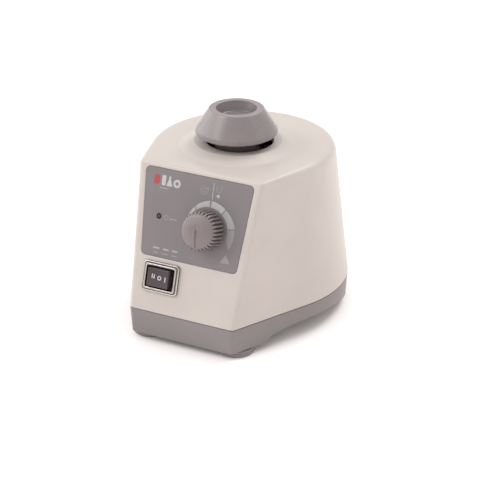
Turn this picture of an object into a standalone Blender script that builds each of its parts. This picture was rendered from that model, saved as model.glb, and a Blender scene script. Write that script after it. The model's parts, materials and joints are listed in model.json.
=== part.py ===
"""Vortex mixer: a bench machine that shakes a tube pressed onto its cup.

Lengths are written in millimetres and turned into metres when a mesh or a place is made.
The origin is on the ground under the middle of the body. +X is to the right, -Y is the front, +Z is up.
The sloped front carries its own frame: x to the right, s up the slope from the seam, n out of the face.
"""

import math

import bmesh
import bpy
from mathutils import Vector

MM = 0.001

# The body's plan: a straight front, a rear arc, and straight sides that touch the arc.
SEAM_Z = 20.16
TOP_Z = 103.8
ARC_Y = 9.07
REAR_RADIUS, TOP_REAR_RADIUS = 63.5, 54.4
FRONT_HALF_WIDTH, TOP_FRONT_HALF_WIDTH = 34.15, 40.15
FRONT_Y, TOP_FRONT_Y = -72.57, -46.37
CORNER_RADIUS, INNER_CORNER_RADIUS = 3.5, 1.0
FRONT_EDGE_RADIUS, REAR_EDGE_RADIUS = 2.2, 6.0
FRONT_STEPS, CORNER_STEPS, SIDE_STEPS, ARC_STEPS = 2, 2, 2, 10
WALL = 2.5
GAP = 0.3

# The raised boss round the head opening.
BOSS_FOOT_RADIUS, BOSS_TOP_RADIUS, BOSS_Z = 31.5, 25.5, 107.5
OPENING_RADIUS = 21.0

# The base.
SKIRT_Z, FLOOR_LOW_Z, FLOOR_Z, LIP_Z = 4.0, 11.0, 13.5, 23.5
SKIRT_DRAFT = 1.0
FOOT_PLACES = {
    "foot_front_left": (-28.5, -57.3),
    "foot_front_right": (28.5, -57.3),
    "foot_rear_left": (-28.5, 42.0),
    "foot_rear_right": (28.5, 42.0),
}
FOOT_RADIUS, FOOT_BOSS_Z = 9.5, 4.2
POST_PLACES = ((-38.8, -37.7), (38.8, -37.7), (-41.5, 43.9), (41.5, 43.9))
POST_RIB_TURNS = (203.2, -23.2, 140.0, 40.0)
POST_RADIUS, POST_TOP_Z = 4.0, 45.0
SCREW_RADIUS, SCREW_HOLE_RADIUS, SCREW_HEAD_RADIUS = 1.5, 1.8, 3.0

# The sloped front.
LEAN = math.atan2(TOP_FRONT_Y - FRONT_Y, TOP_Z - SEAM_Z)
KNOB = (9.2, 54.95)
SWITCH = (-16.1, 21.5)
LED = (-23.0, 57.1)
LABEL_LOW, LABEL_HIGH = 33.3, 84.9
LABEL_LOW_HALF, LABEL_HIGH_HALF = 31.2, 35.3
LABEL_CORNER, LABEL_RECESS = 3.0, 0.8

# The drive. Heights run up the motor axis, which stands on the origin.
ORBIT_OFFSET = 2.0
SHAFT_RADIUS, SHAFT_LOW_Z, SHAFT_HIGH_Z = 4.0, 25.8, 90.0
CORE_LOW_Z, CORE_HIGH_Z = 36.0, 64.0
BORE_RADIUS, ROTOR_RADIUS = 17.2, 16.7
BOLT_PLACES = ((-17.0, -24.0), (24.0, -24.0), (24.0, 24.0), (-17.0, 24.0))
LOW_PLATE_Z, HIGH_PLATE_Z, PLATE_THICKNESS = 28.0, 70.0, 4.0
POST_CIRCLE, POST_ANGLES = 22.0, (180.0, 300.0, 60.0)
CUP_TOP_Z = 128.0

# The mains inlet in the rear.
INLET_Z, INLET_PLANE_Y = 45.0, 65.2

ROUND_STEPS = 20


def lerp(a, b, t):
    return a + (b - a) * t


def material(name, colour, roughness, metallic=0.0):
    """A Principled material. colour is linear red, green, blue."""
    made = bpy.data.materials.new(name)
    made.use_nodes = True
    made.diffuse_color = (*colour, 1.0)
    shader = made.node_tree.nodes["Principled BSDF"]
    shader.inputs["Base Color"].default_value = (*colour, 1.0)
    shader.inputs["Roughness"].default_value = roughness
    shader.inputs["Metallic"].default_value = metallic
    return made


def clear_scene():
    for obj in list(bpy.data.objects):
        bpy.data.objects.remove(obj)


def new_collection(name):
    made = bpy.data.collections.new(name)
    bpy.context.scene.collection.children.link(made)
    return made


clear_scene()
PARTS = new_collection("vortex_mixer")
CUTTERS = new_collection("cutters")
WHITE = material("white_body", (0.70, 0.66, 0.63), 0.42)
GRAY = material("gray_base", (0.29, 0.26, 0.27), 0.45)
LABEL = material("gray_label", (0.26, 0.25, 0.255), 0.5)
RUBBER = material("gray_rubber", (0.24, 0.21, 0.215), 0.6)
DARK_RUBBER = material("dark_rubber", (0.05, 0.05, 0.05), 0.7)
KNOB_GRAY = material("knob_gray", (0.33, 0.29, 0.29), 0.4)
BLACK = material("black_plastic", (0.015, 0.013, 0.013), 0.4)
BEZEL = material("switch_frame", (0.55, 0.53, 0.52), 0.15, 0.6)
STEEL = material("steel", (0.5, 0.5, 0.5), 0.3, 1.0)
ALUMINIUM = material("aluminium", (0.7, 0.7, 0.7), 0.35, 1.0)
BRASS = material("brass", (0.72, 0.5, 0.2), 0.3, 1.0)
COPPER = material("winding_tape", (0.45, 0.16, 0.05), 0.5)
BOARD_GREEN = material("board_green", (0.02, 0.14, 0.05), 0.5)
RED_LENS = material("red_lens", (0.25, 0.02, 0.02), 0.2)
GLASS = material("fuse_glass", (0.8, 0.8, 0.8), 0.1)
WIRE = material("wire_cover", (0.02, 0.05, 0.18), 0.5)


def face_frame():
    """An empty on the seam's middle, whose z axis leaves the sloped front."""
    frame = bpy.data.objects.new("front_frame", None)
    PARTS.objects.link(frame)
    frame.location = Vector((0.0, FRONT_Y, SEAM_Z)) * MM
    frame.rotation_euler = (math.pi / 2 - LEAN, 0.0, 0.0)
    return frame


FRONT = face_frame()


def place(name, data, finish, at=(0, 0, 0), turn=(0, 0, 0), parent=None):
    """Adds an object. finish is its material, or None for a cutter."""
    obj = bpy.data.objects.new(name, data)
    obj.location = Vector(at) * MM
    obj.rotation_euler = [math.radians(angle) for angle in turn]
    obj.parent = parent
    if finish is None:
        CUTTERS.objects.link(obj)
        obj.hide_render = True
        obj.display_type = "WIRE"
    else:
        PARTS.objects.link(obj)
        data.materials.append(finish)
    return obj


def to_mesh(name, bm, smooth_angle=None):
    """A mesh in metres from a bmesh in millimetres."""
    bmesh.ops.scale(bm, vec=(MM, MM, MM), verts=bm.verts)
    bmesh.ops.recalc_face_normals(bm, faces=bm.faces)
    mesh = bpy.data.meshes.new(name)
    bm.to_mesh(mesh)
    bm.free()
    if smooth_angle is not None:
        mesh.shade_smooth()
        mesh.set_sharp_from_angle(angle=math.radians(smooth_angle))
    return mesh


def rod(name, finish, radius, low, high, at=(0, 0, 0), turn=(0, 0, 0), parent=None, steps=12):
    """A cylinder along its own z, from low to high."""
    bm = bmesh.new()
    bmesh.ops.create_cone(bm, cap_ends=True, segments=steps, radius1=radius, radius2=radius, depth=high - low)
    bmesh.ops.translate(bm, vec=(0, 0, (high + low) / 2), verts=bm.verts)
    return place(name, to_mesh(name, bm, 40), finish, at, turn, parent)


def block(name, finish, low, high, at=(0, 0, 0), turn=(0, 0, 0), parent=None, edge=0.0):
    """A box between two corners, with bevelled edges where edge isn't zero."""
    bm = bmesh.new()
    bmesh.ops.create_cube(bm, size=1.0)
    size = [b - a for a, b in zip(low, high)]
    middle = [(a + b) / 2 for a, b in zip(low, high)]
    bmesh.ops.scale(bm, vec=size, verts=bm.verts)
    bmesh.ops.translate(bm, vec=middle, verts=bm.verts)
    if edge:
        bmesh.ops.bevel(bm, geom=bm.edges[:], offset=edge, segments=1, profile=0.5, affect="EDGES")
    return place(name, to_mesh(name, bm), finish, at, turn, parent)


def slab(name, finish, outline_points, low, high, at=(0, 0, 0), turn=(0, 0, 0), parent=None):
    """A flat outline in x and y, given thickness from low to high."""
    bm = bmesh.new()
    face = bm.faces.new([bm.verts.new((x, y, low)) for x, y in outline_points])
    grown = bmesh.ops.extrude_face_region(bm, geom=[face])
    moved = [v for v in grown["geom"] if isinstance(v, bmesh.types.BMVert)]
    bmesh.ops.translate(bm, vec=(0, 0, high - low), verts=moved)
    return place(name, to_mesh(name, bm, 30), finish, at, turn, parent)


def turned(name, finish, profile, at=(0, 0, 0), turn=(0, 0, 0), parent=None, steps=ROUND_STEPS, ring=False):
    """A profile of (radius, height) points turned about z. It runs down the outer side;
    a ring's profile closes on itself, and any other starts and ends on the axis."""
    mesh = bpy.data.meshes.new(name)
    points = [(r * MM, 0.0, z * MM) for r, z in profile]
    edges = [(i, i + 1) for i in range(len(points) - 1)]
    if ring:
        edges.append((len(points) - 1, 0))
    mesh.from_pydata(points, edges, [])
    obj = place(name, mesh, finish, at, turn, parent)
    screw = obj.modifiers.new("turn", "SCREW")
    screw.axis = "Z"
    screw.angle = 2 * math.pi
    screw.steps = screw.render_steps = steps
    screw.use_merge_vertices = True
    screw.merge_threshold = 0.00001
    screw.use_smooth_shade = True
    return obj


def tube(name, finish, points, radius):
    """A round wire through points, with flat ends."""
    curve = bpy.data.curves.new(name, "CURVE")
    curve.dimensions = "3D"
    curve.bevel_depth = radius * MM
    curve.bevel_resolution = 2
    curve.use_fill_caps = True
    spline = curve.splines.new("POLY")
    spline.points.add(len(points) - 1)
    for target, point in zip(spline.points, points):
        target.co = (*(Vector(point) * MM), 1.0)
    return place(name, curve, finish)


def smooth_route(corners, per_span=2):
    """Points on a smooth curve through the corners of a route."""
    ends = [corners[0], *corners, corners[-1]]
    points = []
    for i in range(1, len(ends) - 2):
        before, start, stop, after = (Vector(ends[i + k]) for k in (-1, 0, 1, 2))
        for step in range(per_span):
            t = step / per_span
            points.append(0.5 * (2 * start + (stop - before) * t
                                 + (2 * before - 5 * start + 4 * stop - after) * t ** 2
                                 + (3 * start - before - 3 * stop + after) * t ** 3))
    return points + [Vector(corners[-1])]


def boolean(target, operation, tools):
    for tool in tools:
        modifier = target.modifiers.new(f"{operation.lower()}_{tool.name}", "BOOLEAN")
        modifier.operation = operation
        modifier.object = tool
    return target


def cut(target, *tools):
    return boolean(target, "DIFFERENCE", tools)


def join(target, *tools):
    return boolean(target, "UNION", tools)


def rounded_outline(corners, radius, steps=3):
    """An outline of straight sides whose corners are arcs. The corners go anticlockwise."""
    points = []
    count = len(corners)
    for i in range(count):
        here = Vector(corners[i])
        back = (Vector(corners[i - 1]) - here).normalized()
        ahead = (Vector(corners[(i + 1) % count]) - here).normalized()
        half = back.angle(ahead) / 2
        centre = here + (back + ahead).normalized() * radius / math.sin(half)
        first = here + back * radius / math.tan(half)
        start = math.atan2(first.y - centre.y, first.x - centre.x)
        for k in range(steps + 1):
            angle = start + (math.pi - 2 * half) * k / steps
            points.append((centre.x + radius * math.cos(angle), centre.y + radius * math.sin(angle)))
    return points


def rectangle(half_x, half_y, radius, centre=(0.0, 0.0)):
    cx, cy = centre
    corners = [(cx - half_x, cy - half_y), (cx + half_x, cy - half_y),
               (cx + half_x, cy + half_y), (cx - half_x, cy + half_y)]
    return rounded_outline(corners, radius)


def outline(z, inset=0.0):
    """The body's plan at height z, moved inwards by inset, anticlockwise from the middle of the front."""
    t = (max(z, SEAM_Z) - SEAM_Z) / (TOP_Z - SEAM_Z)
    radius = lerp(REAR_RADIUS, TOP_REAR_RADIUS, t)
    corner = Vector((lerp(FRONT_HALF_WIDTH, TOP_FRONT_HALF_WIDTH, t), lerp(FRONT_Y, TOP_FRONT_Y, t) - ARC_Y))
    touch = math.atan2(corner.y, corner.x) + math.acos(radius / corner.length)
    side = Vector((-math.sin(touch), math.cos(touch)))
    touch_point = Vector((math.cos(touch), math.sin(touch))) * (radius - inset)
    front_y = corner.y + inset
    front_x = touch_point.x + side.x * (front_y - touch_point.y) / side.y
    fillet = max(CORNER_RADIUS - inset, INNER_CORNER_RADIUS)
    sweep = math.atan2(side.y, side.x)
    fillet_x = front_x - fillet * math.tan(sweep / 2)
    fillet_end = Vector((fillet_x + fillet * math.sin(sweep), front_y + fillet * (1 - math.cos(sweep))))
    right = [Vector((fillet_x * k / FRONT_STEPS, front_y)) for k in range(FRONT_STEPS)]
    for k in range(CORNER_STEPS + 1):
        angle = sweep * k / CORNER_STEPS
        right.append(Vector((fillet_x + fillet * math.sin(angle), front_y + fillet * (1 - math.cos(angle)))))
    right += [fillet_end.lerp(touch_point, k / SIDE_STEPS) for k in range(1, SIDE_STEPS)]
    for k in range(ARC_STEPS + 1):
        angle = lerp(touch, math.pi / 2, k / ARC_STEPS)
        right.append(Vector((math.cos(angle), math.sin(angle))) * (radius - inset))
    left = [Vector((-p.x, p.y)) for p in reversed(right[1:-1])]
    return [Vector((p.x, p.y + ARC_Y)) for p in right + left]


def ring_at(z, inset):
    return [Vector((p.x, p.y, z)) for p in outline(z, inset)]


def circle_at(z, radius):
    """A round section whose points face those of the body's plan."""
    return [Vector((p.x, p.y, 0)).normalized() * radius + Vector((0, 0, z)) for p in outline(TOP_Z)]


def top_edge_rings(steps=3):
    """Sections of the rounded top edge, small at the front and growing towards the rear."""
    plan = outline(TOP_Z)
    front_lean, rear_lean = LEAN, math.atan2(REAR_RADIUS - TOP_REAR_RADIUS, TOP_Z - SEAM_Z)
    edges = []
    for p in plan:
        share = min(max((p.y - TOP_FRONT_Y) / (ARC_Y - TOP_FRONT_Y), 0.0), 1.0)
        share = share * share * (3 - 2 * share)
        edges.append((lerp(FRONT_EDGE_RADIUS, REAR_EDGE_RADIUS, share),
                      front_lean if p.y < TOP_FRONT_Y + CORNER_RADIUS / 2 else rear_lean))
    rings = []
    for step in range(steps + 1):
        ring = []
        for i, (radius, lean) in enumerate(edges):
            angle = lerp(lean, math.pi / 2, step / steps)
            inset = radius * (1 / math.cos(lean) - math.tan(lean) - math.cos(angle))
            spot = outline(TOP_Z, inset)[i]
            ring.append(Vector((spot.x, spot.y, TOP_Z - radius * (1 - math.sin(angle)))))
        rings.append(ring)
    return rings


def loft(name, finish, rings, closed=False):
    """A skin through sections of equal count. It closes on itself, or gets a flat cap at each end."""
    bm = bmesh.new()
    rows = [[bm.verts.new(p) for p in ring] for ring in rings]
    count = len(rings[0])
    for low, high in zip(rows, rows[1:] + ([rows[0]] if closed else [])):
        for k in range(count):
            bm.faces.new((low[k], low[(k + 1) % count], high[(k + 1) % count], high[k]))
    if not closed:
        bm.faces.new(list(reversed(rows[0])))
        bm.faces.new(rows[-1])
    return place(name, to_mesh(name, bm, 30), finish)


def label_outline(grow=0.0):
    low, high = LABEL_LOW - grow, LABEL_HIGH + grow
    low_half, high_half = LABEL_LOW_HALF + grow, LABEL_HIGH_HALF + grow
    corners = [(-low_half, low), (low_half, low), (high_half, high), (-high_half, high)]
    return rounded_outline(corners, LABEL_CORNER)


def make_housing():
    bottom = SEAM_Z + GAP / 2
    inner_top = TOP_Z - WALL
    rings = [ring_at(bottom, 0.0), ring_at(60.0, 0.0)]
    rings += top_edge_rings()
    rings += [circle_at(TOP_Z, BOSS_FOOT_RADIUS), circle_at(TOP_Z + 0.9, BOSS_FOOT_RADIUS - 2.0),
              circle_at(BOSS_Z - 0.5, BOSS_TOP_RADIUS + 0.8), circle_at(BOSS_Z, BOSS_TOP_RADIUS - 0.4),
              circle_at(BOSS_Z, OPENING_RADIUS + 0.7), circle_at(BOSS_Z - 0.7, OPENING_RADIUS),
              circle_at(TOP_Z + 0.8, OPENING_RADIUS), circle_at(inner_top + 0.5, BOSS_TOP_RADIUS + 1.5),
              circle_at(inner_top, BOSS_FOOT_RADIUS + 1.0),
              ring_at(inner_top, WALL + 2.0), ring_at(inner_top - 3.0, WALL),
              ring_at(60.0, WALL), ring_at(bottom, WALL)]
    housing = loft("housing", WHITE, rings, closed=True)
    posts = [rod(f"post_{i}", None, POST_RADIUS, FLOOR_Z + GAP, POST_TOP_Z, at=(x, y, 0), steps=10)
             for i, (x, y) in enumerate(POST_PLACES)]
    ribs = [block(f"post_rib_{i}", None, (0, -1, LIP_Z + 1), (6.0, 1, POST_TOP_Z), at=(x, y, 0),
                  turn=(0, 0, angle))
            for i, ((x, y), angle) in enumerate(zip(POST_PLACES, POST_RIB_TURNS))]
    rear_pad = block("rear_pad", None, (-21, 61.8, LIP_Z + 0.5), (21, 80.0, 67))
    boolean(rear_pad, "INTERSECT", [loft("body_core", None, [ring_at(SEAM_Z + 1, 1.0), ring_at(95.0, 1.0)])])
    join(housing, rear_pad, *posts, *ribs)
    bores = [rod(f"post_bore_{i}", None, SCREW_HOLE_RADIUS, FLOOR_Z - 5, 27.0, at=(x, y, 0), steps=8)
             for i, (x, y) in enumerate(POST_PLACES)]
    recess = slab("label_recess", None, label_outline(GAP), -LABEL_RECESS, 5, parent=FRONT)
    pot_hole = rod("pot_hole", None, 3.8, -8, 3, at=(*KNOB, 0), parent=FRONT)
    led_hole = rod("led_hole", None, 1.8, -8, 3, at=(*LED, 0), parent=FRONT, steps=8)
    switch_hole = slab("switch_hole", None, rectangle(10.1, 7.5, 0.8), -8, 5, at=(*SWITCH, 0), parent=FRONT)
    pocket = block("rear_pocket", None, (-17.5, INLET_PLANE_Y, 28.0), (17.5, 90, 62.5))
    inlet_hole = block("inlet_hole", None, (-13.9, 55, 31.3), (13.9, 80, 59.7))
    return cut(housing, recess, pot_hole, led_hole, switch_hole, pocket, inlet_hole, *bores)


def arch_cutter():
    """The relief in the side skirts: a step at the front, a shallow rise, and a long run down to the rear."""
    points = [(-47.5, 0.0), (30.0, 0.0), (30.0, 4.4)]
    rise, end, peak_z = -16.0, 30.0, 10.6
    for k in range(1, 9):
        y = lerp(end, rise, k / 8)
        points.append((y, lerp(peak_z, 4.4, ((y - rise) / (end - rise)) ** 2)))
    for k in range(1, 6):
        y = lerp(rise, -47.5, k / 5)
        points.append((y, lerp(peak_z, 8.0, ((rise - y) / (rise + 47.5)) ** 2)))
    return slab("arch", None, points, -80, 80, turn=(90, 0, 90))


def make_base():
    rings = [ring_at(FLOOR_LOW_Z, 3.4), ring_at(SKIRT_Z + 0.3, 3.0), ring_at(SKIRT_Z, 2.7),
             ring_at(SKIRT_Z, SKIRT_DRAFT + 0.6), ring_at(SKIRT_Z + 0.6, SKIRT_DRAFT),
             ring_at(SEAM_Z - GAP / 2, 0.0), ring_at(SEAM_Z - GAP / 2, WALL + 0.4),
             ring_at(LIP_Z, WALL + 0.4), ring_at(LIP_Z, WALL + 1.8), ring_at(FLOOR_Z, WALL + 1.8)]
    base = loft("base", GRAY, rings)
    bosses = [rod(f"boss_{name}", None, FOOT_RADIUS, FOOT_BOSS_Z, FLOOR_LOW_Z + 1, at=(x, y, 0), steps=16)
              for name, (x, y) in FOOT_PLACES.items()]
    pillars = [rod(f"pillar_{i}", None, 5.0, FLOOR_Z - 1, LOW_PLATE_Z - GAP, at=(x, y, 0), steps=10)
               for i, (x, y) in enumerate(BOLT_PLACES)]
    join(base, *bosses, *pillars)
    bolt_bores = [rod(f"bolt_bore_{i}", None, SCREW_HOLE_RADIUS, FLOOR_Z + 2, 40, at=(x, y, 0), steps=8)
                  for i, (x, y) in enumerate(BOLT_PLACES)]
    screw_holes = [rod(f"screw_hole_{i}", None, SCREW_HOLE_RADIUS, 5, 20, at=(x, y, 0), steps=8)
                   for i, (x, y) in enumerate(POST_PLACES)]
    vents = [slab(f"vent_{i}", None, rectangle(1.5, 8.0, 1.4, (x, -38.0)), 5, 20)
             for i, x in enumerate((-20, -10, 0, 10, 20))]
    return cut(base, arch_cutter(), *bolt_bores, *screw_holes, *vents)


def make_feet_and_screws():
    for name, (x, y) in FOOT_PLACES.items():
        top = FOOT_BOSS_Z - GAP
        turned(name, RUBBER,
               [(0, top), (FOOT_RADIUS, top), (FOOT_RADIUS, 1.0), (FOOT_RADIUS - 1.0, 0), (0, 0)],
               at=(x, y, 0), steps=16)
    head_z = FLOOR_LOW_Z - GAP
    for i, (x, y) in enumerate(POST_PLACES, 1):
        turned(f"base_screw_{i}", STEEL,
               [(0, 24), (SCREW_RADIUS, 24), (SCREW_RADIUS, head_z), (SCREW_HEAD_RADIUS, head_z),
                (SCREW_HEAD_RADIUS, head_z - 1), (1.8, head_z - 1.8), (0, head_z - 1.8)],
               at=(x, y, 0), steps=8)


def make_front_controls():
    label = slab("front_label", LABEL, label_outline(), -0.5, 0.0, parent=FRONT)
    label_holes = [rod("label_pot_hole", None, 3.8, -3, 3, at=(*KNOB, 0), parent=FRONT),
                   rod("label_led_hole", None, 1.8, -3, 3, at=(*LED, 0), parent=FRONT, steps=8)]
    cut(label, *label_holes)
    turned("power_led", RED_LENS, [(0, 0.3), (0.9, 0.1), (1.4, -0.6), (1.4, -5.5), (0, -5.5)],
           at=(*LED, 0), parent=FRONT, steps=8)
    turned("pot_body", STEEL,
           [(2.3, 4.6), (3.5, 4.6), (3.5, -2.8), (8.0, -2.8), (8.0, -10.8), (2.3, -10.8)],
           at=(*KNOB, 0), parent=FRONT, steps=16, ring=True)
    nut = rod("pot_nut", STEEL, 5.6, GAP, 2.3, at=(*KNOB, 0), parent=FRONT, steps=6)
    cut(nut, rod("pot_nut_hole", None, 3.8, -2, 5, at=(*KNOB, 0), parent=FRONT))
    rod("pot_shaft", STEEL, 2.0, -8.0, 10.0, at=(*KNOB, 0), parent=FRONT, steps=10)
    knob = turned("speed_knob", KNOB_GRAY,
                  [(0, 14.2), (5.0, 13.9), (8.8, 12.9), (10.2, 11.8), (10.8, 10.4), (12.1, 1.6), (12.2, 0.6),
                   (9.2, 0.6), (8.6, 9.0), (3.8, 9.0), (3.8, 5.2), (2.3, 5.2), (2.3, 10.4), (0, 10.4)],
                  at=(*KNOB, 0), parent=FRONT, steps=28)
    cut(knob, block("pointer_groove", None, (-0.7, -14, 11.6), (0.7, -0.5, 20), at=(*KNOB, 0), parent=FRONT))


def make_switch():
    bezel = slab("switch_bezel", BEZEL, rectangle(11.8, 9.1, 2.2), 0.3, 1.8, at=(*SWITCH, 0), parent=FRONT)
    cut(bezel, slab("bezel_opening", None, rectangle(9.1, 6.5, 1.0), -3, 5, at=(*SWITCH, 0), parent=FRONT))
    body = slab("switch_body", BLACK, rectangle(9.8, 7.2, 0.6), -20, 0, at=(*SWITCH, 0), parent=FRONT)
    cut(body, slab("switch_well", None, rectangle(9.1, 6.5, 0.5), -9, 5, at=(*SWITCH, 0), parent=FRONT))
    dip = [(-7.7, -5.5), (7.7, -5.5), (7.5, 3.4), (3.8, 3.0), (0, 2.85), (-3.8, 3.0), (-7.5, 3.4)]
    slab("rocker", BLACK, [(x, n + 3.0) for x, n in dip], -5.3, 5.3,
         at=(*SWITCH, -3.0), turn=(90, 0, 0), parent=FRONT)


def make_inlet():
    outer_y = INLET_PLANE_Y + GAP
    body = block("inlet_body", BLACK, (-15.2, outer_y, 29.4), (15.2, outer_y + 2.0, 61.0), edge=0.5)
    shell = block("inlet_shell", None, (-13.5, 42, 31.6), (13.5, outer_y + 1, 59.4))
    socket = slab("socket_well", None,
                  rounded_outline([(-12, -8), (12, -8), (12, 3.5), (7.5, 8), (-7.5, 8), (-12, 3.5)], 0.8, 2),
                  -51, -80, at=(0, 0, 50.4), turn=(90, 0, 0))
    drawer_slot = block("drawer_slot", None, (-11.5, 46.5, 32.4), (11.5, 80, 40.3))
    join(body, shell)
    cut(body, socket, drawer_slot)
    pins = {"inlet_pin_line": (-7, 48.9), "inlet_pin_neutral": (7, 48.9), "inlet_pin_earth": (0, 53.3)}
    for name, (x, z) in pins.items():
        block(name, BRASS, (x - 1, 39, z - 2), (x + 1, 63, z + 2))
        cut(body, block(f"{name}_slot", None, (x - 1.3, 30, z - 2.3), (x + 1.3, 55, z + 2.3)))
    drawer = block("fuse_drawer", BLACK, (-11.2, 46.8, 32.7), (11.2, outer_y + 2.3, 40.0), edge=0.3)
    cut(drawer, block("fuse_pocket", None, (-10.4, 50, 34.0), (10.4, 56.2, 50)))
    fuse = rod("fuse", GLASS, 2.5, -10, 10, at=(0, 53.1, 36.9), turn=(0, 90, 0), steps=10)
    return body, drawer, fuse


def make_control_board():
    block("control_board", BOARD_GREEN, (-27, 40, -12.9), (27, 73, -11.3), parent=FRONT)
    block("filter_capacitor", LABEL, (9, 43, -24), (25, 52, -13.2), parent=FRONT, edge=0.6)
    fins = block("triac_heatsink", ALUMINIUM, (-21, 47, -22), (-3, 66, -13.2), parent=FRONT)
    cut(fins, *[block(f"fin_gap_{i}", None, (x, 40, -30), (x + 2.4, 70, -16), parent=FRONT)
                for i, x in enumerate((-18.6, -14.2, -9.8, -5.4))])


def make_stator():
    height = (CORE_LOW_Z, CORE_HIGH_Z)
    core = block("stator_core", STEEL, (-24, -30, height[0]), (44.5, 30, height[1]))
    cutters = [rod("rotor_bore", None, BORE_RADIUS, 20, 80, steps=32),
               block("core_window", None, (20.5, -16.5, 20), (33.2, 16.5, 80)),
               block("pole_gap", None, (15, -1.5, 20), (24, 1.5, 80))]
    cutters += [rod(f"core_bolt_hole_{i}", None, SCREW_HOLE_RADIUS, 20, 80, at=(x, y, 0), steps=8)
                for i, (x, y) in enumerate(BOLT_PLACES)]
    cut(core, *cutters)
    coil = block("stator_coil", COPPER, (28, -12, 30.5), (50, 12, 69.5), edge=3.0)
    cut(coil, block("limb_passage", None, (32.9, -20, 35.7), (44.8, 20, 64.3)))


def bracket(name, plate_z, leg_low, leg_high):
    """A plate that carries a bush over the rotor and stands off the core on four legs."""
    plate = slab(name, ALUMINIUM, rounded_outline([(-28, -30), (27, -30), (27, 30), (-28, 30)], 3, 3),
                 plate_z, plate_z + PLATE_THICKNESS)
    join(plate, *[rod(f"{name}_leg_{i}", None, 4.0, leg_low, leg_high, at=(x, y, 0), steps=10)
                  for i, (x, y) in enumerate(BOLT_PLACES)])
    holes = [rod(f"{name}_hole_{i}", None, SCREW_HOLE_RADIUS, plate_z - 20, plate_z + 20, at=(x, y, 0),
                 steps=8)
             for i, (x, y) in enumerate(BOLT_PLACES)]
    cut(plate, rod(f"{name}_bush_seat", None, 7.3, plate_z - 9, plate_z + 9, steps=16), *holes)


def make_motor_frame():
    bracket("bottom_bracket", LOW_PLATE_Z, LOW_PLATE_Z + 1, CORE_LOW_Z - GAP)
    bracket("top_bracket", HIGH_PLATE_Z, CORE_HIGH_Z + GAP, HIGH_PLATE_Z + 1)
    for name, z in (("bottom_bush", LOW_PLATE_Z - 1), ("top_bush", HIGH_PLATE_Z - 1)):
        turned(name, BRASS, [(4.3, z + 6), (7.0, z + 6), (7.0, z), (4.3, z)], steps=16, ring=True)
    top = HIGH_PLATE_Z + PLATE_THICKNESS + GAP
    for i, (x, y) in enumerate(BOLT_PLACES, 1):
        turned(f"motor_bolt_{i}", STEEL,
               [(0, top + 2), (SCREW_HEAD_RADIUS, top + 2), (SCREW_HEAD_RADIUS, top), (SCREW_RADIUS, top),
                (SCREW_RADIUS, 18), (0, 18)], at=(x, y, 0), steps=8)
    for i, angle in enumerate(POST_ANGLES, 1):
        x, y = (POST_CIRCLE * f(math.radians(angle)) for f in (math.cos, math.sin))
        turned(f"restraint_post_{i}", DARK_RUBBER,
               [(0, 98.5), (2.4, 98.5), (3.0, 97.9), (3.0, top + 1.7), (4.6, top + 1.7), (4.6, top),
                (0, top)],
               at=(x, y, 0), steps=10)


def fan_outline(blades=7, hub=7.5, tip=16.4, half_width=0.6):
    """A hub with straight radial blades."""
    points = []
    for k in range(blades):
        angle = 2 * math.pi * k / blades
        ray = Vector((math.cos(angle), math.sin(angle)))
        side = Vector((-ray.y, ray.x)) * half_width
        points += [ray * hub - side, ray * tip - side, ray * tip + side, ray * hub + side]
        for part in (1, 2):
            between = angle + 2 * math.pi / blades * part / 3
            points.append(Vector((math.cos(between), math.sin(between))) * hub)
    return points


def make_rotor():
    turned("motor_shaft", STEEL,
           [(0, SHAFT_HIGH_Z), (3.5, SHAFT_HIGH_Z), (SHAFT_RADIUS, SHAFT_HIGH_Z - 0.5),
            (SHAFT_RADIUS, SHAFT_LOW_Z + 0.8), (3.0, SHAFT_LOW_Z), (0, SHAFT_LOW_Z)], steps=16)
    turned("rotor_core", ALUMINIUM,
           [(4.3, 67.0), (14.0, 67.0), (15.0, 65.0), (ROTOR_RADIUS, 65.0), (ROTOR_RADIUS, 35.5),
            (15.0, 35.5), (14.0, 35.0), (4.3, 35.0)], steps=24, ring=True)
    fan = slab("cooling_fan", BLACK, fan_outline(), 77.5, 83.5)
    cut(fan, rod("fan_bore", None, 4.3, 70, 90, steps=16))
    eccentric = turned("eccentric", STEEL,
                       [(0, 92.0), (8.0, 92.0), (8.5, 91.5), (8.5, 85.2), (0, 85.2)], steps=16)
    weight_points = [(16 * math.cos(a), 2 + 14 * math.sin(a)) for a in (math.pi * k / 12 for k in range(13))]
    join(eccentric,
         slab("counterweight", None, weight_points, 85.7, 91.0),
         rod("crank_pin", None, 4.0, 91, 99.3, at=(0, -ORBIT_OFFSET, 0), steps=16))
    cut(eccentric,
        rod("eccentric_bore", None, 4.3, 80, SHAFT_HIGH_Z + GAP, steps=16),
        rod("eccentric_screw_hole", None, 1.8, 2, 12, at=(0, 0, 88), turn=(0, 90, 0), steps=8))
    rod("eccentric_screw", STEEL, 1.5, 4.4, 8.3, at=(0, 0, 88), turn=(0, 90, 0), steps=8)


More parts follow.
